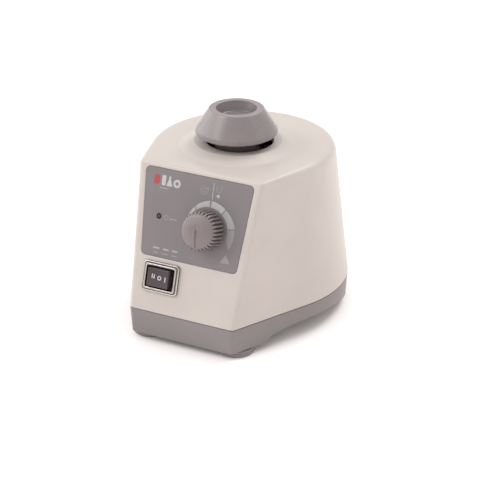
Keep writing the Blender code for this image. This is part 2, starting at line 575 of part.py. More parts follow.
def make_head():
    at = (0, -ORBIT_OFFSET, 0)
    hub = turned("head_hub", BLACK,
                 [(0, 119.2), (8.3, 119.2), (9.0, 118.5), (9.0, 113.6), (13.0, 113.6), (13.0, 103.0),
                  (14.5, 100.5), (14.5, 96.4), (29.0, 95.6), (29.0, 93.2), (14.5, 92.6), (14.5, 92.4), (11.3, 92.4),
                  (11.3, 99.9), (0, 99.9)], at=at, steps=28)
    holes = []
    for i, angle in enumerate(POST_ANGLES):
        x, y = (POST_CIRCLE * f(math.radians(angle)) for f in (math.cos, math.sin))
        holes.append(rod(f"hub_hole_{i}", None, 5.5, 80, 98, at=(x, y - ORBIT_OFFSET, 0), steps=20))
    cut(hub, *holes)
    turned("head_bearing", STEEL, [(4.3, 99.6), (11.0, 99.6), (11.0, 92.6), (4.3, 92.6)],
           at=at, steps=20, ring=True)
    turned("cup_head", RUBBER,
           [(0, 122.2), (8.6, 122.2), (9.4, 122.8), (11.4, 127.0), (12.2, CUP_TOP_Z), (15.3, CUP_TOP_Z),
            (16.1, 127.5), (16.5, 126.2), (23.1, 118.0), (24.1, 116.2), (24.3, 114.6), (23.7, 113.0),
            (22.4, 112.3), (20.8, 112.7), (19.6, 113.9), (9.3, 113.9), (9.3, 119.5), (0, 119.5)],
           at=at, steps=32)


def make_touch_switch():
    turned("spring_guide", STEEL,
           [(2.9, 14.4), (6.2, 14.4), (6.2, 15.8), (7.2, 15.8), (7.2, FLOOR_Z + GAP), (2.9, FLOOR_Z + GAP)],
           steps=16, ring=True)
    turned("thrust_plunger", STEEL,
           [(0, 25.5), (5.0, 25.5), (5.0, 24.2), (11.0, 24.2), (11.0, 22.0), (2.5, 22.0), (2.5, 16.0),
            (0, 16.0)],
           steps=16)
    coils, per_turn, radius, wire, low, high = 4, 10, 4.8, 0.5, 14.7, 21.7
    helix = []
    for k in range(coils * per_turn + 1):
        share = k / (coils * per_turn)
        angle = 2 * math.pi * coils * share
        height = lerp(low + wire, high - wire, share)
        helix.append((radius * math.cos(angle), radius * math.sin(angle), height))
    tube("return_spring", STEEL, helix, wire)
    switch = block("microswitch", BLACK, (12, -3.3, FLOOR_Z + GAP), (32, 3.3, 18.6), edge=0.3)
    join(switch, *[block(f"lever_ear_{side}", None, (23.5, 2.3 * side, 17.5), (26.5, 3.0 * side, 22.4))
                   for side in (-1, 1)])
    cut(switch, rod("button_hole", None, 1.5, 15.5, 30, at=(20, 0, 0), steps=8))
    rod("microswitch_button", RED_LENS, 1.1, -3.9, 0, at=(20, 0, 20.7), steps=8)
    block("microswitch_lever", STEEL, (-16.5, -2, -0.35), (1.5, 2, 0.35), at=(25, 0, 21.35))


def make_wires():
    routes = {
        "wire_inlet_to_switch": [(-7, 38.0, 48.9), (-8, 35.0, 49.0), (-14, 33.2, 49.6), (-28, 33, 51),
                                 (-40, 16, 52), (-41, -8, 52), (-38, -28, 47), (-27, -38, 36),
                                 (-19.5, -43.6, 31.6), (-19, -47.1, 32.6)],
        "wire_switch_to_board": [(-13, -45.9, 36.4), (-13, -42.6, 35.5), (-8, -38.5, 42), (-1, -39, 51),
                                 (1, -42.6, 57), (1, -46.6, 58.2)],
        "wire_board_to_coil": [(20, -42.7, 70.6), (20.5, -39.5, 69.6), (29, -33.5, 68.5), (36, -25, 68),
                               (39, -16, 66.6), (39, -12.5, 66.2)],
    }
    for name, corners in routes.items():
        tube(name, WIRE, smooth_route(corners), 1.1)


make_housing()
make_base()
make_feet_and_screws()
make_front_controls()
make_switch()
make_inlet()
make_control_board()
make_stator()
make_motor_frame()
make_rotor()
make_head()
make_touch_switch()
make_wires()
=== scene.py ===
"""The looks of the vortex mixer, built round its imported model.

Lengths are millimetres, and MM turns them into metres. +X is right, -Y is the front, +Z is up.
On the sloped front, x runs right, s runs up the slope from the seam, and n comes out of the face.
"""

import json
import math

import bmesh
import bpy
from mathutils import Matrix, Vector


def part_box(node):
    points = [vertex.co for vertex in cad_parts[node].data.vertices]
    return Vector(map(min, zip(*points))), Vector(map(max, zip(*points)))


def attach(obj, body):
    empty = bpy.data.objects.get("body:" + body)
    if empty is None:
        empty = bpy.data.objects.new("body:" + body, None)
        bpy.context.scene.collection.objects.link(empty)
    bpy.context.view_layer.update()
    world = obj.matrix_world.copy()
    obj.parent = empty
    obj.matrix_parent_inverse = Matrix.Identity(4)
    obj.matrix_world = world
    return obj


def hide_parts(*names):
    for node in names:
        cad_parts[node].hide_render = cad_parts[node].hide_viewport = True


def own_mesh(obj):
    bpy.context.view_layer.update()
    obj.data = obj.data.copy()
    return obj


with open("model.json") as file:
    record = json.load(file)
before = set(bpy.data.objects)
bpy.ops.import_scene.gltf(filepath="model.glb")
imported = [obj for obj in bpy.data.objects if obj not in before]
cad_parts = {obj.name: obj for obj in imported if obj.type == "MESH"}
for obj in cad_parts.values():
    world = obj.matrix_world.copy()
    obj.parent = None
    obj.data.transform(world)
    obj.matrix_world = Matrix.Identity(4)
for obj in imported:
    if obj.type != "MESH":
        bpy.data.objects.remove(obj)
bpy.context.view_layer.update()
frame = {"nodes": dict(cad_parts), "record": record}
MM = 0.001


# --- sizes read from the frame ---------------------------------------------------------------------

def box(node):
    """A node's lowest and highest corner, in millimetres."""
    low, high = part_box(node)
    return Vector(low) / MM, Vector(high) / MM


def middle(node):
    """The middle of a node's box in plan, in millimetres."""
    low, high = box(node)
    return (low.x + high.x) / 2, (low.y + high.y) / 2


def joint(name):
    """A joint's place in millimetres, and its axis."""
    found = next(j for j in frame["record"]["behaviour"]["joints"] if j["name"] == name)
    return Vector(found["pos_m"]) / MM, Vector(found["axis"]).normalized()


def face_matrix():
    """Takes x, s and n on the sloped front to millimetres in the row's frame."""
    place, axis = joint("speed_knob_turn")
    out = -axis
    up = out.cross(Vector((1, 0, 0)))
    up = up if up.z > 0 else -up
    start = Vector((0, place.y, place.z)) - up * ((place.z - SEAM_Z) / up.z)
    return Matrix((*zip((1, 0, 0), up, out, start), (0, 0, 0, 1)))


SEAM_Z, TOP_Z = 20.16, 103.8
FACE = face_matrix()
FACE_BACK = FACE.inverted()

KNOB = FACE_BACK @ joint("speed_knob_turn")[0]
SWITCH = FACE_BACK @ joint("rocker_tilt")[0]
LED = FACE_BACK @ ((box("power_led")[0] + box("power_led")[1]) / 2)
HEAD_Y = joint("head_orbit")[0].y
CUP_TOP = box("cup_head")[1].z
INLET_Y = box("inlet_body")[1].y - 2.0

# The body's plan: a straight front, a rear arc, and straight sides that touch the arc.
ARC_Y = 6.0
REAR_RADIUS, TOP_REAR_RADIUS = 63.9, 54.8
REAR_Y, TOP_REAR_Y = 72.57, 63.47
FRONT_HALF, TOP_FRONT_HALF = 34.15, 40.15
FRONT_Y, TOP_FRONT_Y = -72.57, -46.37
CORNER_LOW, CORNER_HIGH = 3.4, 2.6
FRONT_EDGE, REAR_EDGE = 2.4, 6.2
WALL = 2.5
LEAN = math.atan2(TOP_FRONT_Y - FRONT_Y, TOP_Z - SEAM_Z)
REAR_LEAN = math.atan2(REAR_RADIUS - TOP_REAR_RADIUS, TOP_Z - SEAM_Z)
FRONT_COUNT, CORNER_COUNT, SIDE_COUNT, ARC_COUNT = 6, 8, 16, 44

# The raised boss round the head: its foot's, crest's and opening's radius, and the crest's height.
BOSS_FOOT, BOSS_TOP, OPENING, BOSS_Z = 35.0, 26.2, 20.1, 107.2
OPENING_SHIFT = Vector((0.9, 0.5, 0.0))

# The base: its seam gap, skirt, floor and lip. Feet and bosses share their places.
SEAM_GAP = 0.15
SKIRT_Z, SKIRT_DRAFT, FLOOR_Z, LIP_Z = 4.0, 1.0, 11.0, 23.5
FOOT_NAMES = ("front_left", "front_right", "rear_left", "rear_right")
FOOT_RADIUS, FOOT_BOSS_RADIUS = 11.3, 9.5

# The housing's screw posts: x, y and the way that the rib to the wall points, in degrees.
POSTS = ((-38.8, -37.7, 203.2), (38.8, -37.7, -23.2), (-41.5, 43.9, 140.0), (41.5, 43.9, 40.0))

# The label on the sloped front: s and half width at its lower and upper edge, and its corners.
LABEL_LOW, LABEL_LOW_HALF, LABEL_HIGH, LABEL_HIGH_HALF, LABEL_CORNER = 33.3, 31.2, 84.9, 35.3, 3.0
POT_HOLE, LED_HOLE = 3.8, 1.8
SWITCH_HOLE_HALF = (10.1, 7.5)
FRAME_HALF, FRAME_CORNER = (11.75, 9.05), 2.1
INK_HEIGHT = 0.05
SHARP_ANGLE = 35.0


# --- mesh helpers ----------------------------------------------------------------------------------

def mix(a, b, t):
    return a + (b - a) * t


def soften(corners, steps=5, closed=False):
    """A line whose corners are arcs. A corner is x, y and its radius, and radius 0 stays sharp."""
    points = []
    count = len(corners)
    for i, (x, y, radius) in enumerate(corners):
        here = Vector((x, y))
        if radius == 0 or (not closed and i in (0, count - 1)):
            points.append(here)
            continue
        back = (Vector(corners[i - 1][:2]) - here).normalized()
        ahead = (Vector(corners[(i + 1) % count][:2]) - here).normalized()
        half = back.angle(ahead) / 2
        centre = here + (back + ahead).normalized() * radius / math.sin(half)
        first = here + back * radius / math.tan(half) - centre
        last = here + ahead * radius / math.tan(half) - centre
        start = math.atan2(first.y, first.x)
        sweep = (math.atan2(last.y, last.x) - start + math.pi) % (2 * math.pi) - math.pi
        for k in range(steps + 1):
            angle = start + sweep * k / steps
            points.append(centre + Vector((math.cos(angle), math.sin(angle))) * radius)
    return points


def rectangle(half_x, half_y, radius, centre=(0.0, 0.0), steps=5):
    cx, cy = centre[0], centre[1]
    return soften([(cx - half_x, cy - half_y, radius), (cx + half_x, cy - half_y, radius),
                   (cx + half_x, cy + half_y, radius), (cx - half_x, cy + half_y, radius)], steps, True)


def circle(radius, centre=(0.0, 0.0), steps=48):
    return [Vector((centre[0] + radius * math.cos(2 * math.pi * k / steps),
                    centre[1] + radius * math.sin(2 * math.pi * k / steps))) for k in range(steps)]


def add_skin(bm, rings, closed=False):
    """A skin through rings of equal count. It closes on itself, or gets a flat cap at each end."""
    rows = [[bm.verts.new(p) for p in ring] for ring in rings]
    count = len(rings[0])
    for low, high in zip(rows, rows[1:] + ([rows[0]] if closed else [])):
        for k in range(count):
            bm.faces.new((low[k], low[(k + 1) % count], high[(k + 1) % count], high[k]))
    if not closed:
        bm.faces.new(list(reversed(rows[0])))
        bm.faces.new(rows[-1])


def add_plate(bm, outline, low, high):
    """A flat outline with a thickness along z."""
    add_skin(bm, [[(p[0], p[1], low) for p in outline], [(p[0], p[1], high) for p in outline]])


def smooth_faces(mesh, angle=SHARP_ANGLE):
    """Smooth shading that keeps edges sharper than the angle."""
    mesh.shade_smooth()
    mesh.set_sharp_from_angle(angle=math.radians(angle))


def make(name, bm, matrix=None, smooth=SHARP_ANGLE):
    """An object from a bmesh in millimetres, after matrix has put it in its place."""
    if matrix is not None:
        bmesh.ops.transform(bm, matrix=matrix, verts=bm.verts)
    bmesh.ops.recalc_face_normals(bm, faces=bm.faces)
    bmesh.ops.scale(bm, vec=(MM, MM, MM), verts=bm.verts)
    mesh = bpy.data.meshes.new(name)
    bm.to_mesh(mesh)
    bm.free()
    smooth_faces(mesh, smooth)
    obj = bpy.data.objects.new(name, mesh)
    bpy.context.scene.collection.objects.link(obj)
    return obj


def skin(name, rings, matrix=None, closed=False, smooth=SHARP_ANGLE):
    """An object whose skin runs through rings of equal count."""
    bm = bmesh.new()
    add_skin(bm, rings, closed)
    return make(name, bm, matrix, smooth)


def turned(name, profile, steps=96, centre=(0.0, 0.0), matrix=None, ring=False):
    """A profile of radius and height turned about z. It starts and ends on the axis unless it is a ring."""
    bm = bmesh.new()
    rows = []
    for radius, z in profile if ring else profile[1:-1]:
        rows.append([bm.verts.new((centre[0] + radius * math.cos(2 * math.pi * k / steps),
                                   centre[1] + radius * math.sin(2 * math.pi * k / steps), z))
                     for k in range(steps)])
    for low, high in list(zip(rows, rows[1:])) + ([(rows[-1], rows[0])] if ring else []):
        for k in range(steps):
            bm.faces.new((low[k], low[(k + 1) % steps], high[(k + 1) % steps], high[k]))
    if not ring:
        for row, (_, z) in ((rows[0], profile[0]), (rows[-1], profile[-1])):
            pole = bm.verts.new((*centre, z))
            for k in range(steps):
                bm.faces.new((row[k], row[(k + 1) % steps], pole))
    return make(name, bm, matrix)


def rod(name, radius, low, high, centre=(0.0, 0.0), steps=24):
    bm = bmesh.new()
    add_plate(bm, circle(radius, centre, steps), low, high)
    return make(name, bm)


def block(name, low, high, matrix=None):
    bm = bmesh.new()
    (x0, y0, z0), (x1, y1, z1) = low, high
    add_plate(bm, [(x0, y0), (x1, y0), (x1, y1), (x0, y1)], z0, z1)
    return make(name, bm, matrix)


def apply_modifiers(obj):
    graph = bpy.context.evaluated_depsgraph_get()
    mesh = bpy.data.meshes.new_from_object(obj.evaluated_get(graph))
    obj.modifiers.clear()
    old = obj.data
    obj.data = mesh
    bpy.data.meshes.remove(old)


def carve(obj, operation, *tools):
    """Applies a Boolean with each tool, and removes the tools."""
    for tool in tools:
        modifier = obj.modifiers.new(tool.name, "BOOLEAN")
        modifier.operation = operation
        modifier.object = tool
    apply_modifiers(obj)
    for tool in tools:
        mesh = tool.data
        bpy.data.objects.remove(tool)
        bpy.data.meshes.remove(mesh)
    smooth_faces(obj.data)


def bevel(obj, width, segments=3, angle=SHARP_ANGLE):
    """Rounds the sharp edges."""
    modifier = obj.modifiers.new("bevel", "BEVEL")
    modifier.width = width * MM
    modifier.segments = segments
    modifier.limit_method = "ANGLE"
    modifier.angle_limit = math.radians(angle)
    apply_modifiers(obj)
    smooth_faces(obj.data, angle)
    return obj


def settle(obj, body, slot, finish, *nodes):
    """Gives a piece its material, the body it moves with and the nodes that it stands for. The slot is not
    used.
    """
    obj.data.materials.clear()
    obj.data.materials.append(finish)
    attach(obj, body)
    if nodes:
        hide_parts(*nodes)
    return obj


# --- materials -------------------------------------------------------------------------------------

class Nodes:
    """A short way to write a material's nodes."""

    def __init__(self, name):
        self.material = bpy.data.materials.new(name)
        self.material.use_nodes = True
        self.tree = self.material.node_tree
        self.shader = self.tree.nodes["Principled BSDF"]

    def feed(self, node, inputs):
        """Gives each input its link or its constant."""
        for key, value in inputs.items():
            if isinstance(value, bpy.types.NodeSocket):
                self.tree.links.new(value, node.inputs[key])
            else:
                node.inputs[key].default_value = value

    def add(self, kind, inputs, **settings):
        node = self.tree.nodes.new(kind)
        for key, value in settings.items():
            setattr(node, key, value)
        self.feed(node, inputs)
        return node

    def place(self, stretch=(1, 1, 1)):
        """Object coordinates in millimetres, stretched along the axes."""
        where = self.add("ShaderNodeTexCoord", {}).outputs["Object"]
        scale = tuple(1 / MM * part for part in stretch)
        return self.add("ShaderNodeMapping", {"Vector": where, "Scale": scale}).outputs["Vector"]

    def noise(self, size, detail=2.0, where=None):
        """Noise whose features are about size millimetres."""
        return self.add("ShaderNodeTexNoise", {"Vector": where or self.place(), "Scale": 1.0 / size,
                                               "Detail": detail}).outputs["Fac"]

    def ramp(self, value, low, high, to_low=0.0, to_high=1.0):
        return self.add("ShaderNodeMapRange", {"Value": value, "From Min": low, "From Max": high,
                                               "To Min": to_low, "To Max": to_high}).outputs["Result"]

    def mix(self, share, first, second):
        """A blend of two colours. Each is a socket or three numbers."""
        first, second = (c if isinstance(c, bpy.types.NodeSocket) else (*c, 1.0) for c in (first, second))
        return self.add("ShaderNodeMix", {0: share, 6: first, 7: second}, data_type="RGBA").outputs[2]

    def math(self, operation, first, second=0.0):
        return self.add("ShaderNodeMath", {0: first, 1: second}, operation=operation).outputs["Value"]

    def bump(self, height, distance, strength=1.0, over=None):
        """Bump from a height, where height 1 stands distance millimetres proud."""
        inputs = {"Height": height, "Distance": distance * MM, "Strength": strength}
        if over is not None:
            inputs["Normal"] = over
        return self.add("ShaderNodeBump", inputs).outputs["Normal"]

    def finish(self, colour, roughness, normal, metallic=0.0, **constants):
        """Joins the colour, roughness and normal to the shader, and sets its constants."""
        self.feed(self.shader, {"Base Color": colour, "Roughness": roughness, "Normal": normal,
                                "Metallic": metallic})
        self.feed(self.shader, {key.replace("_", " "): value for key, value in constants.items()})
        return self.material


def linear(red, green, blue):
    """Linear colour from sRGB values from 11 to 255."""
    return tuple(((c / 255 + 0.055) / 1.055) ** 2.4 for c in (red, green, blue))


def shade(colour, factor):
    return tuple(c * factor for c in colour)


def coated(name, colour, roughness, grain=0.35, relief=0.012, tint=0.04, wear=0.5):
    """Paint or moulded plastic: a fine grain, slow changes of tint and sheen, and paler rubbed edges."""
    n = Nodes(name)
    slow = n.noise(25.0, 3.0)
    fine = n.noise(grain, 2.0)
    body = n.mix(n.ramp(slow, 0.35, 0.65), shade(colour, 1 - tint), shade(colour, 1 + tint * 0.5))
    specks = n.ramp(n.noise(grain * 3.1, 4.0), 0.62, 0.78)
    body = n.mix(n.math("MULTIPLY", specks, 0.10), body, shade(colour, 0.72))
    edge = n.add("ShaderNodeNewGeometry", {}).outputs["Pointiness"]
    rubbed = n.math("MULTIPLY", n.ramp(edge, 0.53, 0.62), wear * 0.35)
    body = n.mix(rubbed, body, tuple(min(1.0, c * 1.25 + 0.03) for c in colour))
    sheen = n.ramp(slow, 0.3, 0.7, roughness * 0.9, roughness * 1.12)
    normal = n.bump(fine, relief, 0.6, over=n.bump(n.noise(grain * 14, 1.0), relief * 2.5, 0.5))
    return n.finish(body, sheen, normal, Specular_IOR_Level=0.5)


def rubber(name, colour, roughness):
    """Moulded rubber: a soft bloom, fine pores and a little dust in the grain."""
    n = Nodes(name)
    bloom = n.noise(9.0, 4.0)
    body = n.mix(n.ramp(bloom, 0.35, 0.68), shade(colour, 0.95), shade(colour, 1.04))
    pores = n.noise(0.5, 3.0)
    body = n.mix(n.math("MULTIPLY", n.ramp(pores, 0.6, 0.8), 0.18), body, shade(colour, 0.7))
    normal = n.bump(pores, 0.012, 0.5, over=n.bump(bloom, 0.015, 0.4))
    sheen = n.ramp(bloom, 0.3, 0.7, roughness * 0.94, roughness * 1.08)
    return n.finish(body, sheen, normal, Specular_IOR_Level=0.55, Sheen_Weight=0.08, Sheen_Roughness=0.4)


def metal(name, colour, roughness, stretch=(1, 1, 12), streak=0.6, relief=0.01):
    """Machined or drawn metal: fine streaks along one axis, and patchy polish."""
    n = Nodes(name)
    streaks = n.noise(streak, 3.0, n.place(stretch))
    patches = n.noise(6.0, 3.0)
    body = n.mix(n.ramp(patches, 0.3, 0.7), shade(colour, 0.88), colour)
    body = n.mix(n.math("MULTIPLY", n.ramp(streaks, 0.55, 0.8), 0.25), body, shade(colour, 0.6))
    sheen = n.ramp(streaks, 0.3, 0.7, roughness * 0.8, roughness * 1.3)
    return n.finish(body, sheen, n.bump(streaks, relief, 0.5), metallic=1.0)


def laminated(name, colour):
    """A stack of thin steel sheets, lying flat."""
    n = Nodes(name)
    layers = n.add("ShaderNodeTexWave", {"Vector": n.place(), "Scale": 0.6, "Distortion": 0.4, "Detail": 1.0},
                   bands_direction="Z").outputs["Fac"]
    rust = n.noise(5.0, 5.0)
    body = n.mix(n.ramp(layers, 0.1, 0.5), shade(colour, 0.45), colour)
    body = n.mix(n.math("MULTIPLY", n.ramp(rust, 0.58, 0.75), 0.35), body, (0.20, 0.10, 0.05))
    return n.finish(body, n.ramp(rust, 0.3, 0.7, 0.35, 0.6), n.bump(layers, 0.12, 0.8), metallic=0.9)


def wound(name, colour):
    """Tape wrapped round a coil."""
    n = Nodes(name)
    turns = n.add("ShaderNodeTexWave", {"Vector": n.place(), "Scale": 0.09, "Distortion": 0.8, "Detail": 2.0},
                  bands_direction="Z", wave_profile="SAW").outputs["Fac"]
    weave = n.noise(0.7, 2.0, n.place((1, 1, 4)))
    body = n.mix(n.ramp(turns, 0.0, 1.0), shade(colour, 0.7), colour)
    body = n.mix(n.math("MULTIPLY", n.ramp(weave, 0.5, 0.7), 0.3), body, shade(colour, 1.4))
    normal = n.bump(turns, 0.3, 0.7, over=n.bump(weave, 0.05))
    return n.finish(body, n.ramp(weave, 0.3, 0.7, 0.4, 0.65), normal)


def board(name, colour):
    """A lacquered circuit board with copper tracks under the lacquer."""
    n = Nodes(name)
    tracks = n.add("ShaderNodeTexBrick", {"Vector": n.place(), "Scale": 0.35, "Mortar Size": 0.08,
                                          "Color1": (0, 0, 0, 1), "Color2": (0.2, 0.2, 0.2, 1),
                                          "Mortar": (1, 1, 1, 1)}).outputs["Color"]
    dots = n.add("ShaderNodeTexVoronoi", {"Vector": n.place(), "Scale": 0.28}).outputs["Distance"]
    body = n.mix(n.math("MULTIPLY", tracks, 0.5), colour, (0.10, 0.30, 0.10))
    body = n.mix(n.ramp(dots, 0.16, 0.13), body, (0.62, 0.60, 0.55))
    return n.finish(body, n.ramp(n.noise(4.0), 0.3, 0.7, 0.25, 0.4), n.bump(tracks, 0.03), Coat_Weight=0.4)


def printed(name, colour):
    """Screen-printed ink, a little uneven."""
    n = Nodes(name)
    patch = n.noise(1.2, 4.0)
    body = n.mix(n.ramp(patch, 0.3, 0.75), shade(colour, 0.90), shade(colour, 1.04))
    return n.finish(body, n.ramp(patch, 0.3, 0.7, 0.45, 0.55), n.bump(patch, 0.004, 0.5))


def chromed(name, colour, roughness):
    """Bright plating with faint haze and fine scratches."""
    n = Nodes(name)
    haze = n.noise(3.0, 4.0)
    scratch = n.noise(0.25, 2.0, n.place((1, 9, 1)))
    body = n.mix(n.ramp(haze, 0.3, 0.7), shade(colour, 0.9), colour)
    return n.finish(body, n.ramp(haze, 0.3, 0.75, roughness, roughness * 2.0), n.bump(scratch, 0.003, 0.4),
                    metallic=1.0)


def glassy(name, colour, roughness, cloud):
    """A clear or tinted lens."""
    n = Nodes(name)
    haze = n.noise(1.5, 3.0)
    body = n.mix(n.ramp(haze, 0.3, 0.7), shade(colour, 0.85), colour)
    return n.finish(body, n.ramp(haze, 0.3, 0.7, roughness, roughness * 1.8), n.bump(haze, 0.01, 0.3),
                    Transmission_Weight=1.0 - cloud, IOR=1.49)


WHITE = coated("white_paint", (0.455, 0.408, 0.379), 0.36, tint=0.025)
GRAY = coated("gray_paint", (0.190, 0.168, 0.169), 0.4, grain=0.45, relief=0.02)
OVERLAY = coated("label_film", (0.163, 0.145, 0.151), 0.5, grain=0.22, relief=0.006, wear=0.2)
KNOB_GRAY = coated("knob_plastic", (0.172, 0.141, 0.144), 0.36, grain=0.3, wear=0.3)
BLACK = coated("black_plastic", linear(50, 42, 42), 0.3, grain=0.3, tint=0.15, wear=0.4)
NECK = coated("neck_plastic", linear(104, 90, 88), 0.42, grain=0.3, tint=0.12, wear=0.3)
ROCKER = coated("rocker_plastic", linear(60, 51, 54), 0.32, grain=0.3, tint=0.12, wear=0.4)
# This dark rubber colour is the switch gasket's own colour. It also paints the ring in the frame's groove,
# which is a painted reflection.
GASKET_AND_PAINTED_REFLECTION = coated("gasket_rubber_and_painted_reflection", linear(92, 83, 80), 0.5, grain=0.3, tint=0.1, wear=0.2)
CUP_GRAY = rubber("cup_rubber", (0.190, 0.160, 0.164), 0.27)
FOOT_GRAY = rubber("foot_rubber", (0.186, 0.165, 0.166), 0.5)
POST_RUBBER = rubber("post_rubber", linear(40, 38, 38), 0.65)
CHROME = chromed("frame_plating", linear(188, 183, 178), 0.16)
STEEL = metal("machined_steel", linear(178, 176, 174), 0.28)
STEEL_PLATE = metal("rolled_steel", linear(170, 168, 165), 0.35, (6, 1, 1))
ALUMINIUM = metal("cast_aluminium", linear(196, 196, 197), 0.42, (1, 1, 1), 0.8, 0.03)
BRASS = metal("brass", linear(214, 178, 108), 0.25)
CORE = laminated("core_sheets", linear(120, 118, 116))
COIL = wound("coil_tape", linear(190, 120, 62))
BOARD = board("board_lacquer", linear(34, 102, 58))
CASE = coated("capacitor_case", linear(126, 124, 128), 0.4, wear=0.2)
LENS = glassy("red_lens", linear(92, 66, 64), 0.12, 0.6)
FUSE_GLASS = glassy("fuse_glass", linear(232, 238, 238), 0.05, 0.1)
WIRE = rubber("wire_cover", linear(38, 66, 122), 0.45)
INK = printed("pale_ink", linear(166, 164, 164))
# The middle and faint inks are paler print. On the speed band they also carry painted shade of the knob's
# shadow.
MIDDLE_INK_AND_PAINTED_SHADE = printed("middle_ink_and_painted_shade", linear(153, 152, 152))
FAINT_INK_AND_PAINTED_SHADE = printed("faint_ink_and_painted_shade", linear(138, 135, 137))
BRIGHT_INK = printed("bright_ink", linear(172, 170, 168))
RED_INK = printed("red_ink", linear(156, 62, 68))
WHITE_INK = printed("white_ink", linear(188, 180, 187))


# --- the body --------------------------------------------------------------------------------------

def plan(z, inset=0.0):
    """The body's outline at height z, moved in by inset, anticlockwise from the middle of the front."""
    t = (max(z, SEAM_Z) - SEAM_Z) / (TOP_Z - SEAM_Z)
    radius = mix(REAR_RADIUS, TOP_REAR_RADIUS, t)
    depth = mix(REAR_Y, TOP_REAR_Y, t) - ARC_Y
    corner = Vector((mix(FRONT_HALF, TOP_FRONT_HALF, t), mix(FRONT_Y, TOP_FRONT_Y, t) - ARC_Y))
    touch = math.atan2(corner.y, corner.x) + math.acos(radius / corner.length)
    side = Vector((-math.sin(touch), math.cos(touch)))
    touch_point = Vector((math.cos(touch), math.sin(touch))) * (radius - inset)
    front_y = corner.y + inset
    front_x = touch_point.x + side.x * (front_y - touch_point.y) / side.y
    fillet = max(mix(CORNER_LOW, CORNER_HIGH, t) - inset, 0.8)
    sweep = math.atan2(side.y, side.x)
    fillet_x = front_x - fillet * math.tan(sweep / 2)
    right = [Vector((fillet_x * k / FRONT_COUNT, front_y)) for k in range(FRONT_COUNT)]
    for k in range(CORNER_COUNT + 1):
        angle = sweep * k / CORNER_COUNT
        right.append(Vector((fillet_x + fillet * math.sin(angle), front_y + fillet * (1 - math.cos(angle)))))
    fillet_end = right[-1]
    right += [fillet_end.lerp(touch_point, k / SIDE_COUNT) for k in range(1, SIDE_COUNT)]
    for k in range(ARC_COUNT + 1):
        angle = mix(touch, math.pi / 2, k / ARC_COUNT)
        reach = depth if angle > 0 else radius
        right.append(Vector((math.cos(angle) * (radius - inset), math.sin(angle) * (reach - inset))))
    left = [Vector((-p.x, p.y)) for p in reversed(right[1:-1])]
    return [Vector((p.x, p.y + ARC_Y)) for p in right + left]


def plan_at(z, inset=0.0):
    return [Vector((p.x, p.y, z)) for p in plan(z, inset)]


def round_at(z, radius):
    """A round section whose points face those of the plan."""
    centre = OPENING_SHIFT * min(max((BOSS_TOP - radius) / 3.0, 0.0), 1.0)
    return [Vector((p.x, p.y, 0)).normalized() * radius + centre + Vector((0, 0, z)) for p in plan(TOP_Z)]


def top_edge(steps=10):
    """Sections of the rounded top edge, which is small at the front and grows towards the rear."""
    edges = []
    for p in plan(TOP_Z):
        share = min(max((p.y - TOP_FRONT_Y) / (ARC_Y - TOP_FRONT_Y), 0.0), 1.0)
        share = share * share * (3 - 2 * share)
        turn = min(max((p.y - TOP_FRONT_Y) / CORNER_HIGH, 0.0), 1.0)
        edges.append((mix(FRONT_EDGE, REAR_EDGE, share), mix(LEAN, REAR_LEAN, turn)))
    rings = []
    for step in range(steps + 1):
        ring = []
        insets = {}
        for i, (radius, lean) in enumerate(edges):
            angle = mix(lean, math.pi / 2, step / steps)
            inset = radius * (1 / math.cos(lean) - math.tan(lean) - math.cos(angle))
            key = round(inset, 4)
            if key not in insets:
                insets[key] = plan(TOP_Z, inset)
            spot = insets[key][i]
            ring.append(Vector((spot.x, spot.y, TOP_Z - radius * (1 - math.sin(angle)))))
        rings.append(ring)
    return rings


def label_corners(grow=0.0):
    """The label's outline, grown or shrunk."""
    low, high = LABEL_LOW - grow, LABEL_HIGH + grow
    low_half, high_half = LABEL_LOW_HALF + grow, LABEL_HIGH_HALF + grow
    return soften([(x, s, LABEL_CORNER) for x, s in
                   ((-low_half, low), (low_half, low), (high_half, high), (-high_half, high))], 6, True)


def loft(name, rows, matrix=FACE):
    """An object lofted through flat outlines, each with its height."""
    return skin(name, [[(p[0], p[1], height) for p in outline] for outline, height in rows], matrix)


